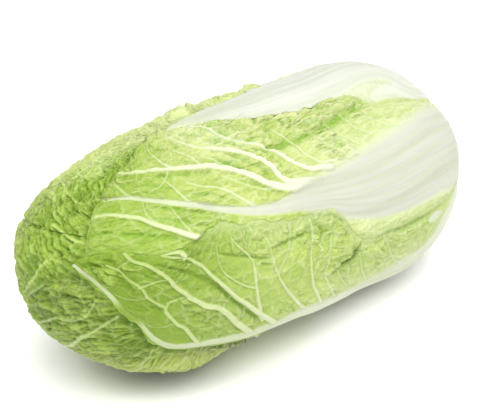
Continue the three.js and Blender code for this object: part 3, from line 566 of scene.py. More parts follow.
def vein_fields(L, X, Y):
    """For points in the leaf's plane (mm): ridge height, white mask and distance to the nearest side vein."""
    height = np.zeros(X.shape); mask = np.zeros(X.shape); near = np.full(X.shape, 60.0)
    veins = list(L["veins"]) + (auto_veins(L) if "auto" in L else [])
    rs = np.random.RandomState(L["seed"] + 5)
    for r0, r1, pts in veins:
        p = np.array(pts, float)
        xy = np.stack([p[:, 1] * D2R * ring_radius(p[:, 0]), p[:, 0]], 1)
        c = resample(xy)
        if len(c) > 6:
            w = np.interp(np.arange(len(c)), np.linspace(0, len(c) - 1, max(3, len(c) // 7)), (rs.rand(max(3, len(c) // 7)) - 0.5) * 1.3)
            w[0] = w[-1] = 0
            tang = np.gradient(c, axis=0); tang /= np.maximum(np.linalg.norm(tang, axis=1), 1e-6)[:, None]
            c = c + np.stack([-tang[:, 1], tang[:, 0]], 1) * w[:, None]
        rad = r0 + (r1 - r0) * np.linspace(0, 1, len(c)) ** 0.7
        pad = 22.0
        lo, hi = c.min(0) - pad, c.max(0) + pad
        idx = np.nonzero((X > lo[0]) & (X < hi[0]) & (Y > lo[1]) & (Y < hi[1]))[0]
        if len(idx) == 0:
            continue
        px, py = X[idx], Y[idx]
        best = np.full(len(idx), 1e9); br = np.full(len(idx), 1.0)
        a, b = c[:-1], c[1:]
        for k in range(len(a)):
            ab = b[k] - a[k]; l2 = max(ab @ ab, 1e-9)
            t = np.clip(((px - a[k, 0]) * ab[0] + (py - a[k, 1]) * ab[1]) / l2, 0, 1)
            d = np.hypot(px - a[k, 0] - t * ab[0], py - a[k, 1] - t * ab[1])
            hit = d < best
            best = np.where(hit, d, best); br = np.where(hit, rad[k], br)
        q = best / br
        ridge = (br * 1.25 + 0.25) * np.sqrt(np.clip(1 - np.clip(q / 1.35, 0, 1) ** 2, 0, 1)) ** 1.2
        tent = br * 0.35 * np.exp(-best / 4.5)
        height[idx] = np.maximum(height[idx], ridge + tent)
        mask[idx] = np.maximum(mask[idx], sm((1.22 - q) / 0.55) * np.clip(0.30 + br * 0.42, 0, 1))
        near[idx] = np.minimum(near[idx], best)
    return height, mask, near


def fold_fields(L, X, Y):
    """Creases pressed into the blade at known places: depth (mm) and painted shade."""
    deep = np.zeros(X.shape); dark = np.zeros(X.shape)
    for width, depth, tone, pts in L.get("folds", []):
        p = np.array(pts, float)
        c = resample(np.stack([p[:, 1] * D2R * ring_radius(p[:, 0]), p[:, 0]], 1), 1.0)
        best = np.full(X.shape, 1e9)
        idx = np.nonzero((X > c[:, 0].min() - 9) & (X < c[:, 0].max() + 9) & (Y > c[:, 1].min() - 9) & (Y < c[:, 1].max() + 9))[0]
        if len(idx) == 0:
            continue
        px, py = X[idx], Y[idx]; best = np.full(len(idx), 1e9); bt = np.zeros(len(idx))
        n = len(c) - 1
        for k in range(n):
            ab = c[k + 1] - c[k]; l2 = max(ab @ ab, 1e-9)
            t = np.clip(((px - c[k, 0]) * ab[0] + (py - c[k, 1]) * ab[1]) / l2, 0, 1)
            d = np.hypot(px - c[k, 0] - t * ab[0], py - c[k, 1] - t * ab[1])
            hit = d < best
            best = np.where(hit, d, best); bt = np.where(hit, (k + t) / n, bt)
        taper = 0.35 + 0.65 * np.sin(np.clip(bt, 0, 1) * math.pi) ** 0.6
        w = width * taper
        g = np.exp(-(best / w) ** 1.8)
        deep[idx] = np.maximum(deep[idx], depth * taper * g)
        dark[idx] = np.maximum(dark[idx], tone * np.exp(-(best / (w * 1.1)) ** 2) * taper)
    return deep, dark


def leaf_surface(name, m, b, edge_m=None):
    """Outer and inner positions and colour masks for leaf points."""
    L = LEAVES[name]
    P = head_point(L["th0"], m, b)
    O, d, l = rays(P)
    cov, cover, wide_cover = covering(P, L["order"])
    depth = common_depth(P) + cov
    k = ring_radius(m) * D2R
    X, Y = b * k, m
    sd = np.maximum(inside_mm(L, m, b), 0)
    q, hw = petiole(L, m, b)
    aq = np.abs(q)
    seed = L["seed"]
    # petiole: a low arch with fine lengthwise ribs that gather into the midrib
    wide = sm((hw - 5) / 12)
    soft_lo, soft_hi = L.get("pet_soft", (3.2, 3.2))
    pet = sm((1.06 - aq) / np.clip(np.where(q < 0, soft_lo, soft_hi) / np.maximum(hw, 0.4), 0.10, 0.5))
    ribn = noise2(q * 2.2 + 4, Y / 60, seed) * 0.55
    ribn2 = 1 + noise2(q * 3.1 + 11, Y / 70, seed + 30)
    ribs = 0.5 + 0.5 * np.cos((q * (4.2 + 1.2 * wide) + ribn) * 2 * math.pi / 1.15)
    ribs2 = 0.5 + 0.5 * np.cos((q * 13 + ribn * 2) * 2 * math.pi / 1.2 + 1.0)
    pet_h = pet * (rib_height(L, q, hw, m) + wide * ((0.10 + 0.16 * ribn2) * ribs + 0.07 * ribs2)) * (1 - 0.5 * sm((20 - m) / 20))
    # side veins
    vh, vm, near = vein_fields(L, X, Y)
    blade = 1 - pet
    vh = vh * (1 - sm((0.95 - aq) / 0.6))
    # the blade: crumpled between the veins, with sharp creases, round crests and a network of small veins
    gx, gy = L.get("grain", (7.0, 12.0))
    ct, st = math.cos(L.get("turn", 0.0) * D2R), math.sin(L.get("turn", 0.0) * D2R)
    X1, Y1 = X * ct - Y * st, X * st + Y * ct
    wx = X1 + fbm2(X / 14, Y / 14, seed + 2) * 4.5; wy = Y1 + fbm2(X / 14 + 40, Y / 14, seed + 3) * 4.5
    n1 = fbm2(wx / gx, wy / gy, seed + 6, 2); n2 = fbm2(wx / (gx * 0.42) + 9, wy / (gy * 0.42), seed + 10, 2)
    n3 = noise2(wx / 1.7, wy / 1.9, seed + 12)
    d1, v1 = voronoi(wx / 9.5, wy / 12.5, seed + 1); d1 = d1 * 10.5
    d2, v2 = voronoi(wx / 3.9 + 7, wy / 4.6, seed + 9); d2 = d2 * 4.2
    amp = np.clip(0.62 + 0.75 * noise2(X / 19, Y / 19, seed + 4), 0.12, 1.3)
    lively = np.zeros(X.shape)
    for cm, cb, cr, gain in L.get("lively", []):
        lively = np.maximum(lively, gain * np.exp(-(np.hypot((b - cb) * k, m - cm) / cr) ** 2))
    amp = np.clip(amp + 0.4 * lively, 0.12, 1.4)
    crinkle = np.clip(L.get("crumple", 0.75) + L.get("edge_crumple", 0.55) * sm((22 - sd) / 18) + 0.45 * sm((m - 300) / 50) - 0.45 * sm((150 - m) / 60), 0.1, 1.5)
    for cm, cb, cr in L.get("calm", []):
        dc = np.hypot((b - cb) * k, m - cm) / cr
        crinkle = crinkle * (1 - 0.85 * sm((1.25 - dc) / 0.6)); amp = amp * (1 - 0.6 * sm((1.25 - dc) / 0.6))
    crinkle = crinkle + 0.1 * lively
    a1 = crinkle * (0.45 + 0.75 * amp); a2 = crinkle * (0.30 + 0.95 * amp)
    crease1 = np.exp(-(np.abs(n1) / 0.075) ** 1.4) * sm((amp - 0.42) / 0.45)
    crease2 = np.exp(-(np.abs(n2) / 0.10) ** 1.4) * sm((amp - 0.45) / 0.5)
    net1 = np.exp(-(d1 / 0.80) ** 1.6) * (0.35 + 0.65 * v1); net2 = np.exp(-(d2 / 0.55) ** 1.5) * np.clip(amp, 0, 1)
    rough = L.get("rough", 1.15)
    if not isinstance(rough, float):
        rough = np.interp(m, [r[0] for r in rough], [r[1] for r in rough])
    puck = rough * (2.4 * a1 * np.abs(n1) ** 0.75 + 1.6 * a2 * np.abs(n2) ** 0.8 + 0.22 * n3 * a2) + 0.5 * np.exp(-d1 / 2.2) * (0.4 + 0.9 * v1) + 0.35 * crinkle * np.exp(-d2 / 1.0) * v2
    fdeep, fold_shade = fold_fields(L, X, Y)
    bare = np.zeros(X.shape)
    for width, pts in L.get("bare", []):
        _, g = fold_fields({"folds": [(width, 1.0, 1.0, pts)]}, X, Y)
        bare = np.maximum(bare, sm((g + 0.22 * n1 - 0.22) / 0.3))
    puck = puck * (1 - 0.85 * bare)
    soft = 1 - L.get("sink", 0.92) * np.exp(-(near / 1.9) ** 1.5)
    cord = np.zeros(X.shape); valley_line = np.zeros(X.shape)
    if "cord" in L:
        axis, pitch, high, c0, c1 = L["cord"]
        along = (wx if axis == 0 else wy) / pitch + 0.95 * fbm2(X1 / 8.0 + 3, Y1 / 8.0, seed + 50)
        patchy = sm((m - c0) / (c1 - c0)) * np.clip(0.65 + 1.4 * noise2(X1 / 8.0, Y1 / 8.0 + 7, seed + 51), 0.0, 1.0)
        wave_c = np.abs(np.sin(along * math.pi))
        cord = high * wave_c ** 0.75 * patchy
        valley_line = np.exp(-(wave_c / 0.55) ** 2) * patchy
        puck = puck * (1 - 0.35 * sm((m - c0) / (c1 - c0)))
    relief = pet_h + blade * ((puck + cord) * soft * (1 - 0.6 * wide_cover) + 0.40 * net1 + 0.22 * net2 + 0.35) + (1 - 0.35 * pet) * vh * (1 - bare)
    # frilled margin: lifted and waved
    ecoord = np.where(b > (margins(L, m)[0] + margins(L, m)[1]) / 2, m, -m) + X * 0.35
    wave = noise2(ecoord / 9.0, np.full_like(m, 2.5), seed + 7) * 0.8 + noise2(ecoord / 4.2, np.full_like(m, 5.5), seed + 8) * 0.5
    lift = sm((11 - sd) / 11) ** 1.6 * sm((m - 120) / 50) * L.get("lift", 1.0)
    relief = relief + lift * blade * (0.35 + 1.5 * wave)
    relief = np.clip(relief - fdeep, -0.9, None)
    # painted highlight: the tops of the cords, the high crumple near the leaf end and the ridges are lightened in
    # colour
    painted_highlight = (0.4 * sm((cord - 0.7) / 0.5) + 0.5 * sm((m - 300) / 40) * sm((puck - 1.7) / 1.4)) * blade
    for width, high, pts in L.get("ridges", []):
        top, _ = fold_fields({"folds": [(width, high, 1.0, pts)]}, X, Y)
        relief = relief + top * (0.75 + 0.5 * n2); painted_highlight = np.maximum(painted_highlight, top / high)
    # soft limit so that nothing stands far off the head
    relief = np.where(relief > 3.9, 3.9 + (relief - 3.9) * 0.4, relief)
    lo_, hi_ = margins(L, m)
    for side, m0, m1, much in L.get("hug", []):
        rim = ((hi_ - b) if side > 0 else (b - lo_)) * k
        relief = relief * (1 - much * sm((10 - rim) / 9) * sm((m - m0) / 12) * sm((m1 - m) / 12))
    for side, m0, m1, high, reach in L.get("swell", []):
        rim = ((hi_ - b) if side > 0 else (b - lo_)) * k
        ripple = 0.85 + 0.45 * noise2(m / 9.0, rim / 14.0, seed + 40) + 0.25 * noise2(m / 4.0, rim / 9.0, seed + 41)
        relief = relief + high * sm((rim - 0.3) / reach) * np.exp(-(rim / 30.0) ** 2) * sm((m - m0) / 25) * sm((m1 - m) / 25) * ripple
    relief = relief * (0.5 + 0.5 * sm(sd / 3.6))
    if name.startswith("outer"):
        drape = under_height(P, L["order"])
        relief = np.maximum(relief, (drape + 0.32) * sm((9 - sd) / 7))
        relief = relief + 0.05 * np.exp(-sd / 2.5)
    relief = relief * (1 - 0.93 * cover)
    T = thickness(L, m, b, sd)
    follow = sm((14 - sd) / 10)
    outer = place(O, d, l, depth - relief)
    inner = place(O, d, l, depth + T - relief * follow)
    for cm, cr, much in L.get("gaps", []):
        pet = pet * (1 - much * np.exp(-((m - cm) / cr) ** 4))
    blade = 1 - pet
    white = np.clip(pet * (1 - 0.10 * (1 - ribs) * wide) + blade * np.clip(vm * L.get("vein_white", 1.0) + L.get("net", (0.40, 0.27))[0] * net1 * (1 - vm) + L.get("net", (0.40, 0.27))[1] * net2, 0, 1), 0, 1)
    # painted shade: the hollow mask is 1 where the blade lies low; it darkens the colour there and keeps the pale small
    # veins out of these hollows
    hollow_shade = blade * np.clip(1.05 - (relief - 0.5) / 1.6, 0, 1)
    veined = pet * (1 - 0.10 * (1 - ribs) * wide) + blade * vm * L.get("vein_white", 1.0)
    white = np.clip(np.maximum(veined, white * (1 - 0.8 * hollow_shade)), 0, 1)
    white = np.maximum(white, bare)
    # painted shade: the deepest folds (tone above 1) are painted almost black-green
    pit_shade = blade * np.clip(fold_shade - 1, 0, 1)
    # painted shade: the crease mask darkens folds, crumple crease lines, cord valleys, the blade beside the edges of
    # the leaves lying over it, and the hollows of the lively zones
    crease_shade = blade * (1 - np.clip(vm * 1.3, 0, 1)) * np.clip(np.maximum(fold_shade, np.maximum(1.0 * valley_line, (0.38 * crease1 + 0.26 * crease2) * np.clip(crinkle, 0, 1)) * soft), 0, 1)
    crease_shade = np.maximum(crease_shade, L.get("shade", 0.0) * blade * sm((wide_cover - 0.55) / 0.4))
    crease_shade = np.maximum(crease_shade, 0.6 * np.clip(lively, 0, 1) * blade * np.clip(hollow_shade * 1.4 - 0.25, 0, 1))
    # how far out on the blade from the petiole: the blade is paler near it
    near_pet = np.exp(-(np.clip((aq - 1) * hw, 0, None) / L.get("pale", 15.0)) ** 1.5) * sm((215 - m) / 80)
    near_pet = np.maximum(near_pet, sm((95 - m) / 70) * (0.75 + 0.25 * n1))
    for cm, cb, cr in L.get("spots", []):
        near_pet = np.maximum(near_pet, np.exp(-(np.hypot((b - cb) * k, m - cm) / cr) ** 2.5) * (0.8 + 0.3 * n1))
    for side, f0, f1, reach in L.get("rim_fade", []):
        rim = ((hi_ - b) if side > 0 else (b - lo_)) * k
        near_pet = np.maximum(near_pet, np.exp(-(np.clip(rim, 0, None) / reach) ** 1.5) * sm((m - f0) / 15) * sm((f1 - m) / 15))
    near_pet = np.clip(near_pet, 0, 1)
    if "dim" in L:
        white = white * (1 - 0.55 * sm((m - L["dim"][0]) / (L["dim"][1] - L["dim"][0])))
        near_pet = np.maximum(near_pet, sm((m - L["dim"][0]) / 20) * np.exp(-(aq / 2.5) ** 2))
    return outer, inner, dict(white=white, hollow_shade=hollow_shade, rib=pet * wide * (1 - ribs), pet=pet, sd=sd, m=m, crease_shade=crease_shade, fade=near_pet, lx=X1, ly=Y1, painted_highlight=painted_highlight, pit_shade=pit_shade, across=q * hw, crk=blade * crinkle * np.clip(amp, 0, 1) * (0.35 + 0.65 * soft) * (1 - 0.5 * sm(valley_line + cord)))


def spaced(lo, hi, spacing):
    """Positions from lo to hi whose step follows spacing(m)."""
    out = [lo]
    while out[-1] < hi:
        out.append(out[-1] + spacing(out[-1]))
    a = np.array(out)
    return lo + (a - lo) * (hi - lo) / (a[-1] - lo)


def make_mesh(name, co, quads, tris, attrs, material):
    me = bpy.data.meshes.new(name)
    me.vertices.add(len(co)); me.vertices.foreach_set("co", np.ascontiguousarray(co, np.float32).ravel())
    nl = quads.size + tris.size
    me.loops.add(nl)
    me.loops.foreach_set("vertex_index", np.concatenate([quads.ravel(), tris.ravel()]).astype(np.int32))
    me.polygons.add(len(quads) + len(tris))
    starts = np.concatenate([np.arange(len(quads)) * 4, len(quads) * 4 + np.arange(len(tris)) * 3]).astype(np.int32)
    me.polygons.foreach_set("loop_start", starts)
    me.polygons.foreach_set("use_smooth", np.ones(len(starts), bool))
    me.update(calc_edges=True)
    for k, v in attrs.items():
        a = me.attributes.new(k, "FLOAT", "POINT")
        a.data.foreach_set("value", np.ascontiguousarray(v, np.float32).ravel())
    me.validate()
    o = bpy.data.objects.new(name, me)
    bpy.context.scene.collection.objects.link(o)
    me.materials.append(material)
    return o


def leaf_object(name, material, rows=None, cols=None, coarse=6):
    L = LEAVES[name]
    end = L["hi"][-1][0]
    if rows is None:
        r = L["rows"]
        ms = spaced(0.0, end - 0.25, lambda m: (r["coarse"] if m < r["start"] - 15 else r["fine"] + (r["coarse"] - r["fine"]) * max(0, (r["start"] - m) / 15)) / RES)
    else:
        ms = np.linspace(0.0, end - 0.25, max(12, int(rows * RES)))
    n, dens = cols if cols is not None else L["cols"]
    n = max(12, int(n * RES))
    t = np.linspace(0, 1, 2001); w = np.interp(t, [a for a, _ in dens], [b for _, b in dens])
    cum = np.concatenate([[0], np.cumsum((w[1:] + w[:-1]) / 2)]); cum /= cum[-1]
    us = np.interp(np.linspace(0, 1, n), cum, t)
    lo, hi = margins(L, ms)
    k = ring_radius(ms) * D2R

    M, U = np.meshgrid(ms, us, indexing="ij")
    B = lo[:, None] + (hi - lo)[:, None] * U
    R, C = M.shape
    outer, inner, A = leaf_surface(name, M.ravel(), np.clip(B.ravel(), -89, 89))
    idx = np.arange(R * C).reshape(R, C)
    quads = np.stack([idx[:-1, :-1], idx[:-1, 1:], idx[1:, 1:], idx[1:, :-1]], -1).reshape(-1, 4)
    # rim: the boundary loop, once more on the inner side
    loop = np.concatenate([idx[0, :-1], idx[:-1, -1], idx[-1, :0:-1], idx[:0:-1, 0]])
    side_t = np.concatenate([np.arange(C - 1) / (C - 1), 1 + np.arange(R - 1) / (R - 1), 2 + np.arange(C - 1) / (C - 1), 3 + np.arange(R - 1) / (R - 1)])
    base = R * C
    N = len(loop)
    rim = base + np.arange(N)
    nxt = np.roll(np.arange(N), -1)
    rimq = np.stack([loop, rim, rim[nxt], loop[nxt]], -1)
    # coarse inner face
    ri = np.unique(np.round(np.linspace(3, R - 4, max(4, R // coarse))).astype(int)); ci = np.unique(np.round(np.linspace(3, C - 4, max(4, C // coarse))).astype(int))
    sub = idx[np.ix_(ri, ci)]
    r2, c2 = sub.shape
    cid = base + N + np.arange(r2 * c2).reshape(r2, c2)
    cquads = np.stack([cid[:-1, :-1], cid[1:, :-1], cid[1:, 1:], cid[:-1, 1:]], -1).reshape(-1, 4)
    cloop = np.concatenate([cid[0, :-1], cid[:-1, -1], cid[-1, :0:-1], cid[:0:-1, 0]])
    ct = np.concatenate([ci[:-1] / (C - 1.0), 1 + ri[:-1] / (R - 1.0), 2 + 1 - ci[:0:-1] / (C - 1.0), 3 + 1 - ri[:0:-1] / (R - 1.0)])
    tris = []
    i = j = 0
    nc = len(cloop)
    ct = ct.copy(); ct[0] = 0.0
    while i < N or j < nc:
        ti = side_t[i + 1] if i + 1 < N else 4.0 + (i + 1 - N)
        tj = ct[j + 1] if j + 1 < nc else 4.0 + (j + 1 - nc)
        if (ti <= tj and i < N) or j >= nc:
            tris.append((rim[i % N], cloop[j % nc], rim[(i + 1) % N])); i += 1
        else:
            tris.append((rim[i % N], cloop[j % nc], cloop[(j + 1) % nc])); j += 1
    tris = np.array(tris, int)
    co = np.concatenate([outer, inner[loop], inner[sub.ravel()]])
    attrs = {k2: np.concatenate([A[k2], A[k2][loop], A[k2][sub.ravel()]]) for k2 in ("white", "hollow_shade", "rib", "pet", "sd", "m", "crease_shade", "fade", "lx", "ly", "crk", "painted_highlight", "pit_shade", "across")}
    # orientation: the outer face must look outwards
    c0 = co[quads[len(quads) // 2]]
    nrm = np.cross(c0[1] - c0[0], c0[3] - c0[0])
    out_dir = c0.mean(0) - np.array([c0.mean(0)[0], 0, REST_DEPTH / 1000])
    flip = nrm @ out_dir < 0
    allq = np.concatenate([quads, rimq, cquads])
    if flip:
        allq = allq[:, ::-1]
    else:
        tris = tris[:, ::-1]
    o = make_mesh("vis_" + name, co, allq, tris, attrs, material)
    return o


# ------------------------------------------------------------------ materials
def lin(r, g, b, k=0.66):
    """A colour as it looks in the light of the scene, taken back to the surface's own reflectance."""
    return tuple(k * ((c / 255) / 12.92 if c / 255 <= 0.04045 else ((c / 255 + 0.055) / 1.055) ** 2.4) for c in (r, g, b)) + (1.0,)


class Nodes:
    """Small helper for building a material's node tree."""

    def __init__(self, name):
        self.mat = bpy.data.materials.new(name)
        self.mat.use_nodes = True
        self.t = self.mat.node_tree
        self.t.nodes.clear()
        self.out = self.t.nodes.new("ShaderNodeOutputMaterial")
        self.bsdf = self.t.nodes.new("ShaderNodeBsdfPrincipled")
        self.t.links.new(self.bsdf.outputs[0], self.out.inputs[0])

    def put(self, socket, v):
        if isinstance(v, bpy.types.NodeSocket):
            self.t.links.new(v, socket)
        elif v is not None:
            socket.default_value = v

    def attr(self, name):
        n = self.t.nodes.new("ShaderNodeAttribute"); n.attribute_name = name
        return n.outputs["Fac"]

    def coord(self):
        n = self.t.nodes.new("ShaderNodeTexCoord")
        return n.outputs["Object"]

    def math(self, op, a, b=None, c=None, clamp=False):
        n = self.t.nodes.new("ShaderNodeMath"); n.operation = op; n.use_clamp = clamp
        self.put(n.inputs[0], a)
        if b is not None:
            self.put(n.inputs[1], b)
        if c is not None:
            self.put(n.inputs[2], c)
        return n.outputs[0]

    def ramp(self, v, lo, hi, a=0.0, b=1.0):
        n = self.t.nodes.new("ShaderNodeMapRange"); n.interpolation_type = "SMOOTHSTEP"
        self.put(n.inputs["Value"], v)
        for k, x in (("From Min", lo), ("From Max", hi), ("To Min", a), ("To Max", b)):
            n.inputs[k].default_value = x
        return n.outputs[0]

    def mix(self, f, a, b):
        n = self.t.nodes.new("ShaderNodeMix"); n.data_type = "RGBA"
        self.put(n.inputs["Factor"], f)
        cs = [s for s in n.inputs if s.type == "RGBA"]
        self.put(cs[0], a); self.put(cs[1], b)
        return [s for s in n.outputs if s.type == "RGBA"][0]

    def noise(self, scale, detail=3.0, rough=0.55, vec=None, distortion=0.0):
        n = self.t.nodes.new("ShaderNodeTexNoise")
        self.put(n.inputs["Vector"], vec if vec is not None else self.coord())
        n.inputs["Scale"].default_value = scale; n.inputs["Detail"].default_value = detail
        n.inputs["Roughness"].default_value = rough; n.inputs["Distortion"].default_value = distortion
        return n.outputs[0]

    def voronoi(self, scale, feature="F1", vec=None):
        n = self.t.nodes.new("ShaderNodeTexVoronoi"); n.feature = feature
        self.put(n.inputs["Vector"], vec if vec is not None else self.coord())
        n.inputs["Scale"].default_value = scale
        return n.outputs["Distance"]

    def wrinkle(self, lx, ly, sx, sy, seed, width):
        """Fine creases in the leaf's own plane: distance from the crease and a mask of the crease itself."""
        c = self.t.nodes.new("ShaderNodeCombineXYZ")
        self.put(c.inputs[0], self.math("MULTIPLY", lx, 1.0 / sx)); self.put(c.inputs[1], self.math("MULTIPLY", ly, 1.0 / sy))
        c.inputs[2].default_value = seed
        n = self.noise(1.0, 2.0, 0.55, c.outputs[0], 0.7)
        a = self.math("ABSOLUTE", self.math("SUBTRACT", n, 0.5))
        return a, self.ramp(a, 0.0, width, 1.0, 0.0)

    def scaled(self, sx, sy, sz):
        n = self.t.nodes.new("ShaderNodeMapping"); n.inputs["Scale"].default_value = (sx, sy, sz)
        self.put(n.inputs["Vector"], self.coord())
        return n.outputs[0]

    def bump(self, h, distance, strength=1.0, normal=None):
        n = self.t.nodes.new("ShaderNodeBump")
        n.inputs["Distance"].default_value = distance; n.inputs["Strength"].default_value = strength
        self.put(n.inputs["Height"], h)
        if normal is not None:
            self.put(n.inputs["Normal"], normal)
        return n.outputs[0]


def leaf_material(name, grain=(7.0, 12.0), young=(222, 240, 148), mid=(203, 229, 112), old=(150, 192, 54), dark=(120, 168, 32), near=(230, 239, 184), start=205.0, span=110.0, seed=1.0, rib_tint=(233, 236, 219), rib_end=(206, 222, 150), glow=(184, 214, 92), painted_shade_weights=(0.8, 0.36, 0.18, 0.26), vein=(228, 238, 196), vein_end=(196, 214, 128)):
    N = Nodes(name)
    young, mid, old, dark, glow = ((c[0], c[1] * 0.965, c[2]) for c in (young, mid, old, dark, glow))
    white, hollow_shade, rib, pet, sd, m, crease_shade, fade = (N.attr(k) for k in ("white", "hollow_shade", "rib", "pet", "sd", "m", "crease_shade", "fade"))
    patch = N.noise(26.0, 3.0, 0.5)
    fine = N.noise(520.0, 2.0, 0.6)
    t = N.math("ADD", N.ramp(m, start, start + span), N.math("MULTIPLY", N.math("SUBTRACT", patch, 0.5), 0.9), clamp=True)
    green = N.mix(t, lin(*mid), lin(*old))
    pale = N.math("MULTIPLY", N.ramp(m, 60.0, 190.0, 1.0, 0.0), 0.75)
    green = N.mix(pale, green, lin(*young))
    light = N.mix(t, lin(*young), lin(*glow))
    green = N.mix(N.ramp(N.math("ADD", patch, N.math("MULTIPLY", fine, 0.25)), 0.5, 0.78, 0.0, 0.45), green, light)
    green = N.mix(N.math("MULTIPLY", fade, 0.8), green, lin(*near))
    # painted shade: darker green in the low hollows of the blade
    green = N.mix(N.math("MULTIPLY", hollow_shade, painted_shade_weights[3]), green, lin(*dark))
    # painted shade: darker green along folds, creases and under the edges of the leaves above
    green = N.mix(N.math("MULTIPLY", crease_shade, painted_shade_weights[0]), green, lin(*dark))
    # painted shade: near-black green in the deepest folds
    green = N.mix(N.attr("pit_shade"), green, lin(58, 92, 14))
    # painted highlight: lighter yellow-green on the raised crests and ridges
    green = N.mix(N.math("MULTIPLY", N.attr("painted_highlight"), 0.8), green, lin(196, 222, 92))
    cells = N.voronoi(640.0)
    green = N.mix(N.ramp(cells, 0.15, 0.75, 0.0, 0.22), green, light)
    green = N.mix(N.ramp(fine, 0.35, 0.75, 0.0, 0.16), green, lin(*dark))
    lx, ly, crk = N.attr("lx"), N.attr("ly"), N.attr("crk")
    a1, l1 = N.wrinkle(lx, ly, grain[0] * 1.1, grain[1] * 1.1, seed, 0.030)
    a2, l2 = N.wrinkle(lx, ly, grain[0] * 0.5, grain[1] * 0.5, seed + 7.0, 0.040)
    # painted highlight on the crests between the fine wrinkles and painted shade along the wrinkle lines, on top of
    # their bump
    green = N.mix(N.math("MULTIPLY", N.ramp(a1, 0.05, 0.16, 0.0, 0.34), crk), green, light)
    wrinkle_line_shade = N.math("MAXIMUM", N.math("MULTIPLY", l1, painted_shade_weights[1]), N.math("MULTIPLY", l2, painted_shade_weights[2]))
    green = N.mix(N.math("MULTIPLY", wrinkle_line_shade, crk, clamp=True), green, lin(*dark))
    wrinkles = N.math("MULTIPLY", N.math("ADD", N.ramp(a1, 0.0, 0.13), N.math("MULTIPLY", N.ramp(a2, 0.0, 0.13), 0.5)), crk)
    edge = N.ramp(sd, 0.3, 2.8, 0.55, 0.0)
    green = N.mix(edge, green, N.mix(t, lin(222, 232, 168), lin(176, 204, 90)))
    rib_c = N.mix(N.ramp(m, 150.0, 330.0), lin(*rib_tint), lin(*rib_end))
    streak = N.noise(1.0, 3.0, 0.6, N.scaled(14.0, 260.0, 260.0))
    rib_c = N.mix(N.ramp(streak, 0.42, 0.72, 0.0, 0.30), rib_c, lin(222, 230, 196))
    broad = N.t.nodes.new("ShaderNodeCombineXYZ")
    N.put(broad.inputs[0], N.math("MULTIPLY", N.attr("across"), 0.16)); N.put(broad.inputs[1], N.math("MULTIPLY", m, 0.008)); broad.inputs[2].default_value = seed
    band = N.noise(1.0, 2.0, 0.5, broad.outputs[0])
    rib_c = N.mix(N.ramp(band, 0.34, 0.64, 0.0, 0.55), rib_c, lin(*[min(255, v + 9) for v in rib_tint]))
    rib_c = N.mix(N.ramp(band, 0.36, 0.56, 0.45, 0.0), rib_c, lin(rib_tint[0] - 13, rib_tint[1] - 9, rib_tint[2] - 22))
    rib_c = N.mix(N.math("MULTIPLY", rib, 0.10), rib_c, lin(208, 222, 176))
    vein_c = N.mix(t, lin(*vein), lin(*vein_end))
    colour = N.mix(white, green, N.mix(N.math("MAXIMUM", pet, N.math("MULTIPLY", N.ramp(m, 150.0, 60.0), 0.8)), vein_c, rib_c))
    N.put(N.bsdf.inputs["Base Color"], colour)
    N.put(N.bsdf.inputs["Roughness"], N.math("ADD", N.math("MULTIPLY", fine, 0.18), N.math("MULTIPLY", pet, -0.06), None) if False else N.ramp(fine, 0.3, 0.7, 0.40, 0.56))
    N.bsdf.inputs["Specular IOR Level"].default_value = 0.15
    N.bsdf.inputs["Subsurface Weight"].default_value = 0.12
    N.bsdf.inputs["Subsurface Radius"].default_value = (0.9, 1.0, 0.45)
    N.bsdf.inputs["Subsurface Scale"].default_value = 0.0022
    b1 = N.bump(N.noise(900.0, 3.0, 0.6), 0.00025, 0.55)
    b2 = N.bump(streak, 0.0005, 0.35, b1)
    b3 = N.bump(wrinkles, 0.00048, 1.0, b2)
    N.put(N.bsdf.inputs["Normal"], b3)
    return N.mat


def stem_material():
    N = Nodes("cabbage_stem")
    r = N.attr("ring")
    fibre = N.noise(420.0, 4.0, 0.65)
    spots = N.voronoi(360.0)
    c = N.mix(N.ramp(fibre, 0.35, 0.7), lin(238, 236, 216), lin(223, 222, 190))
    c = N.mix(N.ramp(r, 0.80, 0.99, 0.0, 0.75), c, lin(196, 176, 124))
    c = N.mix(N.ramp(N.math("ABSOLUTE", N.math("SUBTRACT", r, 0.62)), 0.0, 0.07, 0.55, 0.0), c, lin(206, 214, 160))
    c = N.mix(N.ramp(spots, 0.05, 0.22, 0.30, 0.0), c, lin(190, 178, 128))
    c = N.mix(N.ramp(N.noise(60.0, 3.0, 0.6), 0.52, 0.72, 0.0, 0.5), c, lin(208, 190, 142))
    N.put(N.bsdf.inputs["Base Color"], c)
    N.put(N.bsdf.inputs["Roughness"], N.ramp(fibre, 0.3, 0.7, 0.5, 0.7))
    N.put(N.bsdf.inputs["Normal"], N.bump(fibre, 0.0006, 0.6, N.bump(spots, 0.0006, 0.4)))
    return N.mat


def inner_material():
    N = Nodes("cabbage_inner")
    n = N.noise(40.0, 4.0, 0.6)
    c = N.mix(N.ramp(n, 0.3, 0.7), lin(214, 224, 150), lin(188, 206, 116))
    c = N.mix(N.ramp(N.voronoi(150.0, "DISTANCE_TO_EDGE"), 0.0, 0.08, 0.6, 0.0), c, lin(228, 232, 200))
    N.put(N.bsdf.inputs["Base Color"], c)
    N.bsdf.inputs["Roughness"].default_value = 0.55
    N.put(N.bsdf.inputs["Normal"], N.bump(n, 0.001, 0.5))
    return N.mat


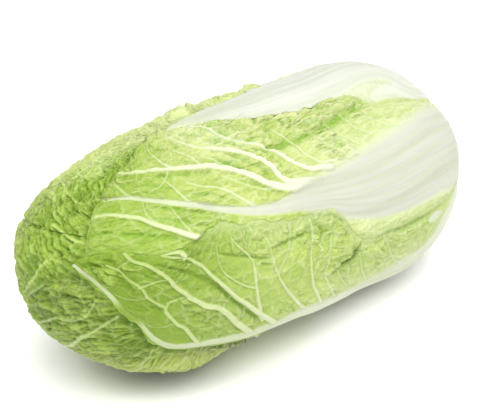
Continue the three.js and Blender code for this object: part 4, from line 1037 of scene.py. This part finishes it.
# ------------------------------------------------------------------ the cut stem
def stem_object(material):
    """Cut end of the core: a trimmed, slightly hollowed face with fibre rings and knife marks, running back into the head."""
    NA, NR = 220, 70
    rs = np.random.RandomState(5)
    th = np.linspace(0, 2 * math.pi, NA, endpoint=False)
    R0 = 25.4
    rim = R0 * (1 + 0.035 * np.cos(2 * th + 0.6) + 0.022 * np.cos(3 * th + 2.0) + 0.012 * np.cos(7 * th + 1.0) + 0.008 * np.cos(11 * th))
    rows, ring = [], []
    # face, from the centre out
    for k in range(NR):
        q = (k + 0.6) / NR
        r = rim * q
        yy, zz = r * np.sin(th), r * np.cos(th)
        dish = -1.5 * (1 - q ** 2) ** 1.4 - 0.5 * np.exp(-((q - 0.62) / 0.05) ** 2) + 0.25 * np.cos(q * 46) * (q < 0.93)
        knife = 0.28 * np.sin((yy * 0.8 + zz * 0.6) / 1.9) * sm((yy * 0.5 - zz) / 30 + 0.5)
        grain = fbm2(yy / 2.2 + 9, zz / 2.2, 3) * 0.35
        lip = -1.0 * sm((q - 0.93) / 0.07)
        rows.append(np.stack([HALF - 0.25 + dish + knife * 0.6 + grain + lip, yy, zz], 1)); ring.append(np.full(NA, q))
    # side wall, back into the head
    for k, d in enumerate([1.8, 3.0, 4.5, 6.5, 9.0, 12.0, 16.0, 21.0, 27.0, 34.0, 42.0, 52.0]):
        r = rim * (1.0 - 0.0 * k) * np.interp(d, [0, 6, 20, 52], [1.0, 1.0, 0.93, 0.45]) + fbm2(th * 6, np.full(NA, d / 6), 8) * 0.35
        rows.append(np.stack([np.full(NA, HALF - 0.25 - d), r * np.sin(th), r * np.cos(th)], 1)); ring.append(np.full(NA, 0.96))
    C = np.concatenate(rows); K = len(rows)
    _, dz = bend_terms(C[:, 0])
    co = C.copy(); co[:, 0] += SHIFT_X; co[:, 2] += dz + REST_DEPTH; co /= 1000
    idx = np.arange(K * NA).reshape(K, NA)
    nx = np.roll(idx, -1, axis=1)
    quads = np.stack([idx[:-1], idx[1:], nx[1:], nx[:-1]], -1).reshape(-1, 4)
    # centre fans
    c0, c1 = K * NA, K * NA + 1
    cc = np.array([[co[:NA, 0].mean(), 0, co[:NA, 2].mean()], [co[-NA:, 0].mean() - 0.002, 0, co[-NA:, 2].mean()]])
    co = np.concatenate([co, cc])
    tris = np.concatenate([np.stack([np.full(NA, c0), idx[0], nx[0]], -1), np.stack([np.full(NA, c1), nx[-1], idx[-1]], -1)])
    face = co[quads[10]]
    nrm = np.cross(face[1] - face[0], face[3] - face[0])
    if nrm[0] < 0:
        quads = quads[:, ::-1]; tris = tris[:, ::-1]
    return make_mesh("vis_stem", co, quads, tris, {"ring": np.concatenate(ring + [np.array([0.0, 0.96])])}, material)


# ------------------------------------------------------------------ build
mats = {
    "outer_leaf_1": leaf_material("cabbage_leaf_1", (7.0, 9.0), young=(214, 237, 143), mid=(189, 220, 101), old=(129, 171, 41), dark=(110, 158, 26), vein=(228, 234, 198), vein_end=(204, 220, 142), start=205.0, span=120.0, seed=1.3, rib_tint=(224, 228, 204), rib_end=(196, 214, 136), glow=(162, 190, 80)),
    "outer_leaf_2": leaf_material("cabbage_leaf_2", (5.5, 20.0), young=(238, 248, 172), mid=(196, 224, 102), old=(134, 177, 42), dark=(128, 186, 26), vein=(235, 241, 212), vein_end=(216, 229, 160), painted_shade_weights=(0.9, 0.46, 0.24, 0.34), start=222.0, span=100.0, seed=2.9, rib_tint=(211, 212, 199), rib_end=(220, 235, 170), glow=(198, 226, 110)),
    "outer_leaf_3": leaf_material("cabbage_leaf_3", (4.2, 9.0), young=(226, 243, 164), mid=(208, 232, 118), old=(112, 162, 26), dark=(76, 124, 12), near=(242, 254, 184), start=308.0, span=70.0, seed=4.1, rib_end=(212, 228, 150), glow=(164, 200, 66), vein=(230, 243, 184), vein_end=(204, 227, 130), painted_shade_weights=(0.85, 0.36, 0.18, 0.32)),
    "outer_leaf_4": leaf_material("cabbage_leaf_4", (9.0, 4.2), mid=(200, 226, 98), old=(99, 140, 21), dark=(64, 104, 12), start=300.0, span=60.0, seed=5.7, rib_end=(176, 196, 116), glow=(144, 176, 56), vein_end=(200, 216, 142), painted_shade_weights=(0.9, 0.38, 0.2, 0.42)),
    "outer_leaf_5": leaf_material("cabbage_leaf_5", young=(238, 248, 204), mid=(214, 234, 138), near=(243, 248, 224), start=230.0, span=120.0, seed=6.2, rib_tint=(228, 230, 219)),
}
wrap = leaf_material("cabbage_wrapper", start=240.0, span=120.0)
inner_mat = inner_material()
stem_mat = stem_material()
made = []
for name, L in LEAVES.items():
    if name.startswith("outer"):
        o = leaf_object(name, mats[name])
    else:
        o = leaf_object(name, wrap, rows=110, cols=(56, [(0, 1.0), (1, 1.0)]), coarse=3)
    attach(o, "root"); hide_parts(name)
    made.append(o)
stem = stem_object(stem_mat)
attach(stem, "root"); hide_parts("stem")
for n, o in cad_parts.items():
    if n not in LEAVES and n != "stem":
        for s in range(max(1, len(o.material_slots))):
            if len(o.material_slots) == 0:
                o.data.materials.append(inner_mat)
            else:
                o.material_slots[s].material = inner_mat

# ------------------------------------------------------------------ stage, light and camera
scene = bpy.context.scene
fm = Nodes("floor")
# painted shadow: towards the tip end (x below -0.03 m) the floor is painted grey where ambient occlusion finds the
# cabbage close above it
contact_ao = fm.t.nodes.new("ShaderNodeAmbientOcclusion"); contact_ao.samples = 8; contact_ao.inputs["Distance"].default_value = 0.024
fx = fm.t.nodes.new("ShaderNodeSeparateXYZ"); fm.put(fx.inputs[0], fm.coord())
outside_painted_shadow = fm.math("MAXIMUM", fm.ramp(contact_ao.outputs["AO"], 0.1, 0.8), fm.ramp(fx.outputs[0], -0.11, -0.03))
fm.put(fm.bsdf.inputs["Base Color"], fm.mix(outside_painted_shadow, (0.46, 0.47, 0.43, 1), fm.mix(fm.noise(3.0, 2.0), (0.93, 0.93, 0.93, 1), (0.92, 0.92, 0.925, 1))))
fm.bsdf.inputs["Roughness"].default_value = 0.9
fm.bsdf.inputs["Specular IOR Level"].default_value = 0.1
me = bpy.data.meshes.new("floor")
me.from_pydata([(-4, -4, 0), (4, -4, 0), (4, 4, 0), (-4, 4, 0)], [], [(0, 1, 2, 3)])
me.materials.append(fm.mat)
floor = bpy.data.objects.new("floor", me)
scene.collection.objects.link(floor)

world = bpy.data.worlds.new("world"); scene.world = world
world.use_nodes = True
bg = world.node_tree.nodes.get("Background") or world.node_tree.nodes.new("ShaderNodeBackground")
bg.inputs[0].default_value = (1, 1, 1, 1)
wt = world.node_tree
wc = wt.nodes.new("ShaderNodeTexCoord"); ws = wt.nodes.new("ShaderNodeSeparateXYZ"); wr = wt.nodes.new("ShaderNodeMapRange")
wr.interpolation_type = "SMOOTHSTEP"
wt.links.new(wc.outputs["Generated"], ws.inputs[0]); wt.links.new(ws.outputs[2], wr.inputs["Value"])
for k, v in (("From Min", 0.02), ("From Max", 0.30), ("To Min", 1.0), ("To Max", 0.48)):
    wr.inputs[k].default_value = v
wt.links.new(wr.outputs[0], bg.inputs[1])


def sun(name, towards, spread, strength):
    d = bpy.data.lights.new(name, "SUN"); d.angle = math.radians(spread); d.energy = strength
    o = bpy.data.objects.new(name, d); scene.collection.objects.link(o)
    o.location = towards
    o.rotation_euler = (-Vector(towards)).to_track_quat("-Z", "Y").to_euler()
    return o


sun("key", (-0.10, -0.34, 1.20), 60.0, 3.42)
sun("bounce", (0.80, -1.00, 0.42), 50.0, 0.38)
sun("fill", (-0.95, -0.60, 0.85), 30.0, 0.95)

AZ, EL, DD, FF, CX, CY = -41.63, 29.56, 0.7659, 1214.2, 249.67, 214.61
a, e = math.radians(AZ), math.radians(EL)
back = Vector((math.sin(a) * math.cos(e), -math.cos(a) * math.cos(e), math.sin(e)))
right = Vector((math.cos(a), math.sin(a), 0.0))
up = back.cross(right)
cam_data = bpy.data.cameras.new("camera")
cam = bpy.data.objects.new("camera", cam_data); scene.collection.objects.link(cam)
cam_data.sensor_width = 36.0
cam_data.sensor_fit = "HORIZONTAL"
cam_data.lens = FF * 36.0 / 480.0
pos = -DD * (right * (CX - 240) / FF - up * (CY - 207) / FF - back) + Vector((SHIFT_X / 1000, 0, REST_DEPTH / 1000))
rot = Matrix((right, up, back)).transposed()
cam.matrix_world = Matrix.Translation(pos) @ rot.to_4x4()
cam_data.clip_start, cam_data.clip_end = 0.02, 50
scene.camera = cam
scene.view_settings.view_transform = "Standard"
scene.view_settings.exposure = 0.0
scene.view_settings.gamma = 1.0
